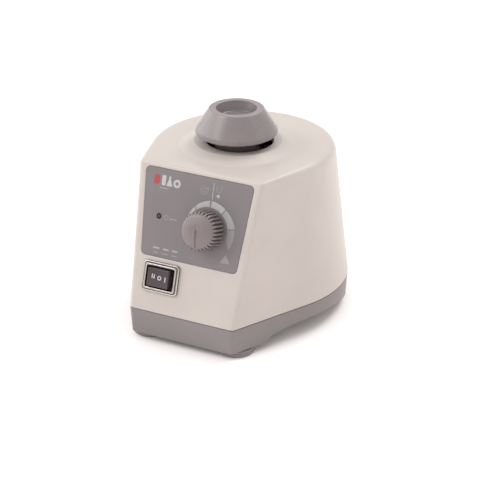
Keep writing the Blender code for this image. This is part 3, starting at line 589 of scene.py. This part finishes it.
def make_housing():
    """The shell with its boss, posts, rear pad, label recess and openings."""
    bottom = SEAM_Z + SEAM_GAP
    inner_top = TOP_Z - WALL
    foot = ((0.0, 0.4), (0.1, 0.08), (0.3, -0.1), (0.55, -0.1), (1.3, 0.0))
    rings = [plan_at(bottom + rise, inset) for rise, inset in foot]
    rings += [plan_at(mix(SEAM_Z + 4, TOP_Z - 8, k / 9)) for k in range(10)]
    rings += top_edge()
    boss = soften([(48.0, TOP_Z, 0), (BOSS_FOOT, TOP_Z, 9.0), (BOSS_TOP, BOSS_Z, 0.35),
                   (OPENING, BOSS_Z - 0.15, 0.4), (OPENING, TOP_Z - 0.5, 0),
                   (BOSS_TOP + 1.5, inner_top, 0)], 6)[1:]
    rings += [round_at(z, radius) for radius, z in boss]
    rings += [plan_at(z, inset) for z, inset in
              ((inner_top, WALL + 3.0), (inner_top - 3.0, WALL), (60.0, WALL), (bottom, WALL))]
    housing = skin("housing_shell", rings, closed=True)
    for x, y, turn in POSTS:
        place = Matrix.Translation((x, y, 0)) @ Matrix.Rotation(math.radians(turn), 4, "Z")
        rib = block("rib", (0, -1, 24.5), (6.0, 1, 44.0), place)
        carve(housing, "UNION", rod("post", 4.0, 13.8, 45.0, (x, y)), rib)
    pad = block("rear_pad", (-21, 61.8, 24.0), (21, 80.0, 67.0))
    carve(pad, "INTERSECT", skin("body_core", [plan_at(SEAM_Z + 1, 1.0), plan_at(95.0, 1.0)]))
    carve(housing, "UNION", pad)
    recess = loft("recess", [(label_corners(grow), n) for grow, n in
                             ((0.3, -0.8), (0.3, -0.35), (0.42, -0.1), (0.75, 0.06), (0.8, 5))])
    pot = loft("pot_hole", [(circle(POT_HOLE, KNOB), n) for n in (-8, 3)])
    led = loft("led_hole", [(circle(LED_HOLE, LED), n) for n in (-8, 3)])
    switch = loft("switch_hole", [(rectangle(*SWITCH_HOLE_HALF, 0.8, SWITCH), n) for n in (-8, 5)])
    upright = Matrix.Translation((0, INLET_Y - 0.3, 0)) @ Matrix.Rotation(math.radians(90), 4, "X")
    pocket = loft("pocket", [(rectangle(17.5, 17.25, 2.0, (0, 45.25)), n) for n in (0, -20)], upright)
    inlet = loft("inlet_hole", [(rectangle(13.9, 14.2, 0.5, (0, 45.5)), n) for n in (12, -15)], upright)
    carve(housing, "DIFFERENCE", recess, pot, led, switch, pocket, inlet)
    for x, y, _ in POSTS:
        carve(housing, "DIFFERENCE", rod("bore", 1.8, 8.0, 27.0, (x, y)))
    settle(housing, "root", "white_body", WHITE, "housing")


def skirt_height(y):
    """The skirt's lower edge along a side: a soft step behind the front, a rise, and a run to the rear."""
    step_y, rise_y, end_y, step_z, peak_z, end_z, reach = -46.6, -14.0, 30.0, 7.1, 10.3, 4.6, 1.1
    if y <= step_y - reach or y >= end_y:
        return SKIRT_Z
    if y >= rise_y:
        height = mix(peak_z, end_z, ((y - rise_y) / (end_y - rise_y)) ** 2)
    else:
        height = mix(peak_z, step_z, ((rise_y - min(max(y, step_y), rise_y)) / (rise_y - step_y)) ** 2)
    share = min((y - step_y + reach) / (2 * reach), 1.0)
    return mix(SKIRT_Z, height, mix(share, share * share * (3 - 2 * share), 0.4))


def make_base():
    """The skirt with its lip, foot bosses, motor pillars, screw holes and vents."""
    corners = plan_at(SEAM_Z)
    counts = [max(1, round((b - a).length / 0.9)) for a, b in zip(corners, corners[1:] + corners[:1])]

    def ring(inset, height=None, lift=0.0):
        """A section with even columns. Without a height, it follows the skirt's lower edge."""
        corners = plan_at(SEAM_Z, inset)
        points = []
        for here, ahead, parts in zip(corners, corners[1:] + corners[:1], counts):
            points += [here.lerp(ahead, k / parts) for k in range(parts)]
        return [Vector((p.x, p.y, skirt_height(p.y) + lift if height is None else height)) for p in points]

    seam, edge = SEAM_Z - SEAM_GAP, 0.8
    rings = [ring(3.4, FLOOR_Z), ring(2.75, lift=0.5), ring(2.55, lift=0.12), ring(2.3, lift=0.0)]
    rings += [ring(SKIRT_DRAFT + edge * (1 - math.sin(a)), lift=edge * (1 - math.cos(a)))
              for a in (math.pi / 2 * k / 5 for k in range(6))]
    rings += [ring(inset, z) for inset, z in
              ((SKIRT_DRAFT / 2, 13.0), (0.03, seam - 0.5), (0.15, seam - 0.12), (0.45, seam), (2.9, seam),
               (2.9, LIP_Z - 0.2), (3.1, LIP_Z), (4.3, LIP_Z), (4.3, 13.5))]
    base = skin("base_shell", rings)
    boss = soften([(0, 4.2, 0), (FOOT_BOSS_RADIUS, 4.2, 0.4), (FOOT_BOSS_RADIUS, FLOOR_Z + 1, 0),
                   (0, FLOOR_Z + 1, 0)], 3)
    tools = [turned(f"boss_{name}", boss, 64, middle(f"foot_{name}")) for name in FOOT_NAMES]
    tools += [rod(f"pillar_{i}", 5.0, 12.5, 27.7, middle(f"motor_bolt_{i}"), 32) for i in range(1, 5)]
    carve(base, "UNION", *tools)
    tools = []
    for i in range(1, 5):
        tools.append(rod(f"bolt_bore_{i}", 1.8, 15.5, 40, middle(f"motor_bolt_{i}")))
        place = middle(f"base_screw_{i}")
        tools.append(loft(f"screw_hole_{i}", [(circle(radius, place), z) for radius, z in
                                              ((2.4, 10), (1.8, 11.6), (1.8, 20))], None))
    for x in (-20, -10, 0, 10, 20):
        slot_low, slot_high = rectangle(2.0, 8.5, 1.95, (x, -38.0)), rectangle(1.5, 8.0, 1.45, (x, -38.0))
        tools.append(loft(f"vent_{x}", [(slot_low, 10.5), (slot_high, 11.5), (slot_high, 20)], None))
    carve(base, "DIFFERENCE", *tools)
    settle(base, "root", "gray_base", GRAY, "base")


def make_feet():
    """Round rubber feet with a groove and a hollow sole."""
    radius = FOOT_RADIUS
    profile = soften([(0, 3.9, 0), (radius, 3.9, 0.3), (radius, 2.9, 0.2), (radius - 0.4, 2.6, 0.2),
                      (radius, 2.3, 0.3), (radius - 0.3, 0.0, 1.0), (4.2, 0.0, 0.4), (3.6, 0.7, 0.2),
                      (0, 0.7, 0)], 5)
    for name in FOOT_NAMES:
        foot = turned(f"rubber_foot_{name}", profile, 72, middle(f"foot_{name}"))
        settle(foot, "root", "gray_rubber", FOOT_GRAY, f"foot_{name}")


def make_screws():
    """Pan heads with a cross recess, seen from below."""
    head = FLOOR_Z - 0.3
    profile = soften([(0, 24, 0), (1.5, 24, 0), (1.5, head, 0), (3.0, head, 0.1), (3.0, head - 1.0, 0.5),
                      (2.0, head - 1.8, 0.6), (0, head - 1.8, 0)], 4)
    for i in range(1, 5):
        x, y = middle(f"base_screw_{i}")
        screw = turned(f"cross_screw_{i}", profile, 40, (x, y))
        arms = []
        for turn in (0, 90):
            spin = Matrix.Translation((x, y, 0)) @ Matrix.Rotation(math.radians(turn + 17 * i), 4, "Z")
            arms.append(block(f"cross_arm_{turn}", (-1.6, -0.28, -3), (1.6, 0.28, head - 0.9), spin))
        carve(screw, "DIFFERENCE", *arms)
        settle(screw, "root", "steel", STEEL, f"base_screw_{i}")


# --- the sloped front ------------------------------------------------------------------------------

def make_label():
    """The film in its recess, with holes for the knob's shaft and the lens."""
    label = loft("label_film", [(label_corners(grow), n) for grow, n in
                                ((0.15, -0.5), (0.15, -0.12), (0.05, 0.0))])
    pot = loft("label_pot", [(circle(POT_HOLE, KNOB), n) for n in (-3, 3)])
    led = loft("label_led", [(circle(radius, LED), n) for radius, n in
                             ((1.7, -3), (1.7, -0.1), (1.95, 0.12), (2.0, 2))])
    carve(label, "DIFFERENCE", pot, led)
    settle(label, "root", "gray_label", OVERLAY, "front_label")


def stroke(points, width):
    """The outline of a line drawn with a round-ended pen."""
    left, right = [], []
    for i, point in enumerate(points):
        before, after = points[max(i - 1, 0)], points[min(i + 1, len(points) - 1)]
        ahead = (Vector(after) - Vector(before)).normalized()
        side = Vector((-ahead.y, ahead.x)) * width / 2
        left.append(Vector(point) + side)
        right.append(Vector(point) - side)
    first = (Vector(points[0]) - Vector(points[1])).normalized() * width / 2
    last = (Vector(points[-1]) - Vector(points[-2])).normalized() * width / 2
    return right + [Vector(points[-1]) + last] + list(reversed(left)) + [Vector(points[0]) + first]


def arc(radius, start, stop, centre, steps):
    angles = [math.radians(mix(start, stop, k / steps)) for k in range(steps + 1)]
    return [Vector((centre[0] + radius * math.cos(a), centre[1] + radius * math.sin(a))) for a in angles]


def band(inner, outer, start, stop, steps=20):
    """Part of a ring round the knob. inner and outer give the radius at a share of the way."""
    low, high = [], []
    for k in range(steps + 1):
        share = k / steps
        angle = math.radians(mix(start, stop, share))
        ray = Vector((math.cos(angle), math.sin(angle)))
        low.append(KNOB.xy + ray * inner(share))
        high.append(KNOB.xy + ray * outer(share))
    return low + list(reversed(high))


def mark(name, outlines, finish, height=INK_HEIGHT):
    """Ink on the label, one thin plate for each outline."""
    bm = bmesh.new()
    for outline in outlines:
        add_plate(bm, outline, 0.0, height)
    settle(make(name, bm, FACE), "root", "gray_label", finish)


def ring_outline(radius, width, centre, gap=(0.0, 0.0), steps=32):
    """A ring as one outline, open by a hair or by a gap between two angles."""
    start, stop = gap[1] + 0.05, gap[0] + 359.95
    return arc(radius + width / 2, start, stop, centre, steps) + list(reversed(
        arc(radius - width / 2, start, stop, centre, steps)))


def make_marks():
    """Plain marks without words: a speed band, icons, dashes, thin lines, shapes and a red dot."""
    tick, inner_radius = 1.1, 13.25
    edges = (154.0, 129.0, 90.0, 53.0, 11.0)
    outer_radii = (14.6, 15.4, 17.0, 17.0, 17.9)
    bands = []
    for i in range(4):
        start, stop = edges[i] - (tick if i else 0), edges[i + 1] + tick
        bands.append(band(lambda t: inner_radius, lambda t, i=i: mix(outer_radii[i], outer_radii[i + 1], t),
                          start, stop))
    last = band(lambda t: mix(inner_radius, 17.4, max(0.0, (t - 0.62) / 0.38) ** 1.3),
                lambda t: mix(17.8, 17.6, t), edges[4] - tick, -30.0)
    # The band's ink steps darker towards its lower right as painted shade of the knob's shadow. The middle
    # part, the end and the wedge take the darker inks.
    mark("speed_band", bands[:3], INK)
    mark("speed_band_middle_painted_shade", bands[3:], MIDDLE_INK_AND_PAINTED_SHADE)
    mark("speed_band_end_painted_shade", [last, soften([(23.2, 43.0, 0.3), (20.1, 37.7, 0.3), (26.8, 38.1, 0.3)], 3, True)],
         FAINT_INK_AND_PAINTED_SHADE)
    mark("icon_divider", [stroke([(9.9, 72.9), (9.9, 82.4)], 0.5), stroke([(9.6, 68.6), (9.75, 71.4)], 0.4)],
         MIDDLE_INK_AND_PAINTED_SHADE)
    orbit = [ring_outline(2.5, 0.34, (4.2, 77.4), (35.0, 80.0)), ring_outline(1.2, 0.34, (4.2, 77.4)),
             soften([(5.8, 79.8, 0), (7.1, 78.9, 0), (5.7, 78.4, 0)], 1, True)]
    cup = [stroke([(11.9, 81.0), (12.2, 78.4), (13.5, 77.2), (14.9, 78.4), (15.2, 81.0)], 0.4)]
    mark("mode_icons", orbit + cup, FAINT_INK_AND_PAINTED_SHADE)
    mark("cup_dot", [circle(0.95, (13.5, 75.3), 24)], INK)
    dashes = [rectangle((b - a) / 2, 0.5, 0.25, ((a + b) / 2, 38.35)) for a, b in
              ((-24.1, -19.8), (-17.5, -13.6), (-11.5, -7.7))]
    mark("range_dashes", dashes, MIDDLE_INK_AND_PAINTED_SHADE)
    faint = [rectangle((b - a) / 2, 0.32, 0.2, ((a + b) / 2, 35.6)) for a, b in
             ((-23.7, -20.4), (-17.7, -13.8), (-11.2, -8.2))]
    power = [ring_outline(1.3, 0.36, (-18.2, 57.0), (65.0, 115.0)),
             stroke([(-18.2, 57.2), (-18.2, 58.7)], 0.36), rectangle(2.4, 0.34, 0.2, (-13.6, 56.6)),
             rectangle(3.0, 0.4, 0.3, (-21.9, 73.7))]
    mark("faint_lines", faint + power, FAINT_INK_AND_PAINTED_SHADE)
    tube = soften([(-24.0, 81.2, 0.1), (-24.0, 75.2, 1.2), (-21.4, 75.2, 1.2), (-21.4, 81.2, 0.1)], 5, True)
    flask = soften([(-19.4, 81.1, 0.1), (-19.4, 79.2, 0.3), (-20.9, 75.3, 0.5), (-16.7, 75.3, 0.5),
                    (-18.2, 79.2, 0.3), (-18.2, 81.1, 0.1)], 4, True)
    mark("bench_marks", [tube, flask, ring_outline(1.75, 1.35, (-13.9, 77.6), steps=48)], BRIGHT_INK)
    mark("red_dot", [soften([(-29.1, 81.0, 1.5), (-29.1, 75.4, 0.5), (-25.4, 75.4, 1.7), (-25.4, 81.0, 1.7)],
                            6, True)], RED_INK, height=0.07)


def make_knob():
    """A domed knob with straight flutes cut into its flank, and a raised pointer down the slope at rest."""
    steps, flutes, flute_share = 720, 30, 0.54
    flute_radius, rim_radius, rim_n = 9.75, 11.8, 1.2
    outer = soften([(0, 14.3, 0), (5.2, 13.95, 14.0), (9.4, 12.75, 4.0), (11.4, 10.4, 2.4), (11.7, 1.3, 0.2),
                    (11.0, 1.1, 0.1), (11.0, 0.6, 0.1), (9.2, 0.6, 0)], 12)
    rings = []
    for radius, n in outer[1:]:
        ring = []
        for k in range(steps):
            angle = 2 * math.pi * k / steps
            off = (flutes * k / steps) % 1.0 - 0.5
            in_flute = abs(off) < flute_share / 2
            depth = max(0.0, math.cos(math.pi * off / flute_share)) ** 0.6 if in_flute else 0.0
            r = min(radius, mix(rim_radius, flute_radius, depth)) if n > rim_n else radius
            ring.append((r * math.cos(angle), r * math.sin(angle), n))
        rings.append(ring)
    for radius, n in ((8.6, 9.0), (3.8, 9.0), (3.8, 5.2), (2.3, 5.2), (2.3, 10.4)):
        rings.append([(p.x, p.y, n) for p in circle(radius, steps=steps)])
    place = FACE @ Matrix.Translation((KNOB.x, KNOB.y, 0))
    settle(skin("fluted_knob", rings, place, smooth=50), "speed_knob", "knob_gray", KNOB_GRAY, "speed_knob")

    def crown(radius):
        """The crown's height at a radius."""
        for (r0, n0), (r1, n1) in zip(outer, outer[1:]):
            if r0 <= radius <= r1:
                return mix(n0, n1, (radius - r0) / max(r1 - r0, 0.001))
        return outer[0][1]

    start, end, parts = Vector((-0.85, 1.2)), Vector((-0.25, -10.75)), 40
    full_lift, sunk = 0.75, -0.7
    rings = []
    for k in range(parts + 1):
        spot = start.lerp(end, k / parts)
        lift = full_lift * min(1.0, (k + 1) / 4, (parts + 1 - k) / 3)
        top = crown(spot.length)
        section = ((-0.72, sunk), (-0.7, lift * 0.3), (-0.55, lift * 0.85), (-0.3, lift), (0.3, lift),
                   (0.55, lift * 0.85), (0.7, lift * 0.3), (0.72, sunk))
        rings.append([(spot.x + x, spot.y, top + n) for x, n in section])
    settle(skin("knob_pointer", rings, place, smooth=50), "speed_knob", "knob_gray", KNOB_GRAY)


def make_led():
    profile = soften([(0, 0.35, 0), (0.9, 0.15, 0.8), (1.4, -0.7, 0.4), (1.4, -5.5, 0), (0, -5.5, 0)], 5)
    lens = turned("indicator_lens", profile, 40, matrix=FACE @ Matrix.Translation((LED.x, LED.y, -0.4)))
    settle(lens, "root", "red_lens", LENS, "power_led")


def frame_ring(inset, n, least_corner=0.0):
    """An outline of the switch's frame, moved in by inset, at height n."""
    corner = max(FRAME_CORNER - inset * 0.5, least_corner)
    outline = rectangle(FRAME_HALF[0] - inset, FRAME_HALF[1] - inset, corner, SWITCH, 8)
    return [(p.x, p.y, n) for p in outline]


def make_bezel():
    """Two bright steps round the rocker on a thin dark gasket. The dark ring in the groove between the steps
    is a painted reflection of the plating.
    """
    section = soften([(0.0, 0.95, 0), (0.0, 1.3, 0.3), (0.3, 1.7, 0.3), (0.7, 1.7, 0.25), (0.95, 1.15, 0.1),
                      (1.3, 1.15, 0.1), (1.55, 2.3, 0.4), (2.5, 2.3, 0.45), (2.75, 0.95, 0)], 5)
    levels = [frame_ring(inset, n, 0.8) for inset, n in section]
    bright = skin("bright_switch_frame", levels, FACE, closed=True)
    settle(bright, "root", "switch_frame", CHROME, "switch_bezel")
    # The gasket is a real part. The ring in the groove is a painted dark reflection of the plating.
    for name, outer, inner, low, high in (("switch_gasket", 0.0, 2.7, -0.1, 0.98),
                                          ("painted_reflection_groove", 0.86, 1.38, 0.9, 1.28)):
        loop = ((outer, low), (outer, high), (inner, high), (inner, low))
        dark = skin(name, [frame_ring(inset, n) for inset, n in loop], FACE, closed=True)
        settle(dark, "root", "black_plastic", GASKET_AND_PAINTED_REFLECTION)
    case = loft("switch_case", [(rectangle(half_x, half_y, 0.6, SWITCH), n) for half_x, half_y, n in
                                ((9.8, 7.2, -20), (9.8, 7.2, -0.05), (9.1, 6.5, -0.05), (9.1, 6.5, -1.2))])
    settle(case, "root", "black_plastic", BLACK, "switch_body")


def rocker_surface(x):
    """The rocker's front above its pivot, dished along x."""
    return 6.6 + 0.5 * (x / 7.0) ** 2


def make_rocker():
    """A dished rocker with raised white marks."""
    columns = [-7.2 + 14.0 * k / 24 for k in range(25)]
    profile = [(-7.4, -2.5), (7.0, -2.5)] + [(x, rocker_surface(x)) for x in reversed(columns)]
    place = FACE @ Matrix.Translation(SWITCH)
    rocker = skin("dished_rocker", [[(x, s, n) for x, n in profile] for s in (-5.5, 5.5)], place)
    bevel(rocker, 0.5, 4, 40)
    settle(rocker, "rocker", "black_plastic", ROCKER, "rocker")
    outlines = [rectangle(0.3, half, 0.12, (x, s)) for x, s, half in
                ((-4.0, 0.75, 1.3), (-2.75, 0.6, 1.3), (4.6, -0.1, 1.5))]
    outlines.append(ring_outline(1.02, 0.55, (0.7, 0.2), steps=40))
    bm = bmesh.new()
    for outline in outlines:
        add_plate(bm, outline, -0.2, 0.04)
    for vert in bm.verts:
        vert.co.z += rocker_surface(vert.co.x)
    settle(make("rocker_marks", bm, place), "rocker", "black_plastic", WHITE_INK)


# --- the head --------------------------------------------------------------------------------------

def make_cup():
    """The rubber cup: a dish inside a thick rim, a sloped flank, and a hollow for the hub below."""
    profile = soften([(0, 121.9, 0), (10.2, 122.0, 0.9), (11.9, CUP_TOP - 1.2, 0.5), (12.2, CUP_TOP, 0.45),
                      (16.25, CUP_TOP, 0.5), (16.9, CUP_TOP - 0.9, 0.7), (24.4, 115.7, 0.9),
                      (24.5, 113.2, 0.5), (22.4, 112.0, 0.7), (19.6, 113.9, 1.0), (9.3, 113.9, 0.4),
                      (9.3, 119.5, 0.3), (0, 119.5, 0)], 8)
    settle(turned("rubber_cup", profile, 160, (0, HEAD_Y)), "cup", "gray_rubber", CUP_GRAY, "cup_head")


def make_hub():
    """The neck and its flange, with a round hole for each restraint post to move in."""
    profile = soften([(0, 119.2, 0), (9.0, 119.2, 0.8), (9.0, 113.6, 0), (13.0, 113.6, 0.5),
                      (13.0, 103.0, 1.5), (14.5, 100.5, 1.0), (14.5, 96.4, 0.8), (29.0, 95.6, 0.5),
                      (29.0, 93.2, 0.5), (14.5, 92.6, 0.3), (14.5, 92.4, 0), (11.3, 92.4, 0.2),
                      (11.3, 99.9, 0), (0, 99.9, 0)], 5)
    hub = turned("orbiting_hub", profile, 128, (0, HEAD_Y))
    holes = []
    for i in range(1, 4):
        x, y = middle(f"restraint_post_{i}")
        holes.append(rod(f"hub_hole_{i}", 5.5, 80, 98, (x, y + HEAD_Y), 48))
    carve(hub, "DIFFERENCE", *holes)
    settle(hub, "head", "black_plastic", NECK, "head_hub")


def make_restraint_posts():
    for i in range(1, 4):
        low, high = box(f"restraint_post_{i}")
        foot = low.z
        profile = soften([(0, high.z, 0), (3.0, high.z, 0.6), (3.0, foot + 1.7, 0.4), (4.6, foot + 1.7, 0.3),
                          (4.6, foot, 0.2), (0, foot, 0)], 4)
        post = turned(f"soft_post_{i}", profile, 40, middle(f"restraint_post_{i}"))
        settle(post, "root", "dark_rubber", POST_RUBBER, f"restraint_post_{i}")


# --- the rear inlet --------------------------------------------------------------------------------

def make_inlet():
    """The mains inlet: a flanged case with its well, three blades, and the fuse drawer."""
    upright = Matrix.Rotation(math.radians(90), 4, "X")
    front = INLET_Y + 2.0
    case, flange = rectangle(13.5, 13.9, 0.5, (0, 45.5)), rectangle(15.2, 15.8, 2.2, (0, 45.2))
    rim, face = rectangle(14.9, 15.5, 2.0, (0, 45.2)), rectangle(14.6, 15.2, 1.8, (0, 45.2))
    body = loft("inlet_case", [(case, -42.0), (case, -INLET_Y), (flange, -INLET_Y), (flange, -front + 0.5),
                               (rim, -front + 0.1), (face, -front)], upright)
    shape = [(-12, 42.4), (12, 42.4), (12, 53.9), (7.5, 58.4), (-7.5, 58.4), (-12, 53.9)]

    def socket(grow):
        """The well's outline, grown outwards."""
        grown = [(x + math.copysign(grow, x), z + math.copysign(grow, z - 50), 0.9) for x, z in shape]
        return soften(grown, 5, True)

    well = loft("socket", [(socket(0), -51), (socket(0), -front + 0.35), (socket(0.5), -front - 0.3),
                           (socket(0.5), -80)], upright)
    slot = rectangle(11.5, 3.95, 0.3, (0, 36.35))
    tools = [well, loft("drawer_slot", [(slot, -46.5), (slot, -80)], upright)]
    blades = {name: box(f"inlet_pin_{name}") for name in ("line", "neutral", "earth")}
    tools += [block(f"pin_slot_{name}", (low.x - 0.3, 30, low.z - 0.3), (high.x + 0.3, 55, high.z + 0.3))
              for name, (low, high) in blades.items()]
    carve(body, "DIFFERENCE", *tools)
    settle(body, "root", "black_plastic", BLACK, "inlet_body")
    for name, (low, high) in blades.items():
        pin = bevel(block(f"blade_{name}", low, high), 0.7, 4)
        settle(pin, "root", "brass", BRASS, f"inlet_pin_{name}")
    low, high = box("fuse_drawer")
    drawer = block("fuse_carrier", low, high)
    pocket = block("fuse_pocket", (low.x + 0.8, 50, 34.0), (high.x - 0.8, 56.2, 50))
    nail = rectangle(4.0, 1.3, 0.6, (0, 38.6))
    notch = loft("finger_notch", [(nail, -high.y + 0.9), (nail, -high.y - 5)], upright)
    carve(drawer, "DIFFERENCE", pocket, notch)
    bevel(drawer, 0.25, 3)
    settle(drawer, "fuse_drawer", "black_plastic", BLACK, "fuse_drawer")


# --- inside the body -------------------------------------------------------------------------------

def make_press_parts():
    """The return spring, drawn at rest though the real one closes up as the head is pressed, and the bush
    below the rotor.
    """
    coils, per_turn, radius, wire, low, high = 4, 30, 4.8, 0.5, 14.7, 21.7
    rings = []
    for k in range(coils * per_turn + 1):
        share = k / (coils * per_turn)
        out = Vector((math.cos(2 * math.pi * coils * share), math.sin(2 * math.pi * coils * share), 0))
        centre = out * radius + Vector((0, 0, mix(low + wire, high - wire, share)))
        rings.append([centre + out * (wire * math.cos(a)) + Vector((0, 0, wire * math.sin(a)))
                      for a in (2 * math.pi * i / 10 for i in range(10))])
    spring = settle(skin("wound_spring", rings), "root", "steel", STEEL, "return_spring")
    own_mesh(spring)
    low, high = box("bottom_bush")
    top, inner, outer = high.z - 0.2, 4.4, 7.0
    profile = soften([(inner, top, 0.3), (outer, top, 0.5), (outer, low.z, 0.3), (inner, low.z, 0.3)],
                     4, True)
    settle(turned("turned_bush", profile, 64, ring=True), "root", "brass", BRASS, "bottom_bush")


def finish_model_nodes():
    """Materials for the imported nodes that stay."""
    groups = {
        STEEL: ["pot_body", "pot_nut", "pot_shaft", "motor_shaft", "eccentric", "eccentric_screw",
                "head_bearing", "thrust_plunger", "spring_guide", *(f"motor_bolt_{i}" for i in range(1, 5))],
        STEEL_PLATE: ["microswitch_lever"],
        CORE: ["stator_core"],
        COIL: ["stator_coil"],
        ALUMINIUM: ["top_bracket", "bottom_bracket", "rotor_core", "triac_heatsink"],
        BRASS: ["top_bush"],
        BOARD: ["control_board"],
        CASE: ["filter_capacitor"],
        BLACK: ["cooling_fan", "microswitch"],
        LENS: ["microswitch_button"],
        FUSE_GLASS: ["fuse"],
        WIRE: ["wire_inlet_to_switch", "wire_switch_to_board", "wire_board_to_coil"],
    }
    for finish, names in groups.items():
        for name in names:
            slots = frame["nodes"][name].data.materials
            slots.clear()
            slots.append(finish)


# --- floor, light and camera -----------------------------------------------------------------------

def make_studio():
    """A plain pale floor, a white sky and three soft suns."""
    half, thickness = 6000, 20.0
    floor = block("floor", (-half, -half, -thickness), (half, half, 0.0))
    n = Nodes("floor_white")
    soft = n.noise(120.0, 2.0)
    body = n.mix(soft, (0.94, 0.905, 0.895), (0.96, 0.925, 0.915))
    floor.data.materials.append(n.finish(body, 0.75, n.bump(n.noise(2.0), 0.02, 0.2), Specular_IOR_Level=0.2,
                                         Emission_Color=(1.0, 0.97, 0.965, 1.0), Emission_Strength=0.03))
    world = bpy.data.worlds.new("soft_white")
    bpy.context.scene.world = world
    world.use_nodes = True
    sky = world.node_tree.nodes["Background"]
    sky.inputs["Color"].default_value = (1.0, 0.985, 0.975, 1.0)
    sky.inputs["Strength"].default_value = 1.0
    lights = (
        ("key", (-0.50, -0.50, 0.71), 30.0, 0.85),
        ("left", (-0.95, -0.14, 0.28), 60.0, 1.20),
        ("right_rear", (0.26, 0.50, 0.83), 30.0, 1.35),
    )
    for name, towards, spread, power in lights:
        data = bpy.data.lights.new(name, "SUN")
        data.angle = math.radians(spread)
        data.energy = power
        lamp = bpy.data.objects.new(name, data)
        lamp.rotation_euler = Vector(towards).to_track_quat("Z", "Y").to_euler()
        bpy.context.scene.collection.objects.link(lamp)


def make_camera():
    """A long lens above the front right."""
    azimuth, elevation, distance = math.radians(27.53), math.radians(24.97), 1161.2
    target = Vector((2.50, 10.37, 30.96))
    back = Vector((math.sin(azimuth) * math.cos(elevation), -math.cos(azimuth) * math.cos(elevation),
                   math.sin(elevation)))
    data = bpy.data.cameras.new("camera")
    data.sensor_width = 36.0
    data.lens = 136.05
    data.clip_start, data.clip_end = 0.05, 50.0
    camera = bpy.data.objects.new("camera", data)
    camera.location = (target + back * distance) * MM
    camera.rotation_euler = (-back).to_track_quat("-Z", "Y").to_euler()
    bpy.context.scene.collection.objects.link(camera)
    bpy.context.scene.camera = camera


make_camera()
make_studio()
make_housing()
make_base()
make_feet()
make_screws()
make_label()
make_marks()
make_knob()
make_led()
make_bezel()
make_rocker()
make_cup()
make_hub()
make_restraint_posts()
make_inlet()
make_press_parts()
finish_model_nodes()
bpy.context.scene.view_settings.view_transform = "Standard"
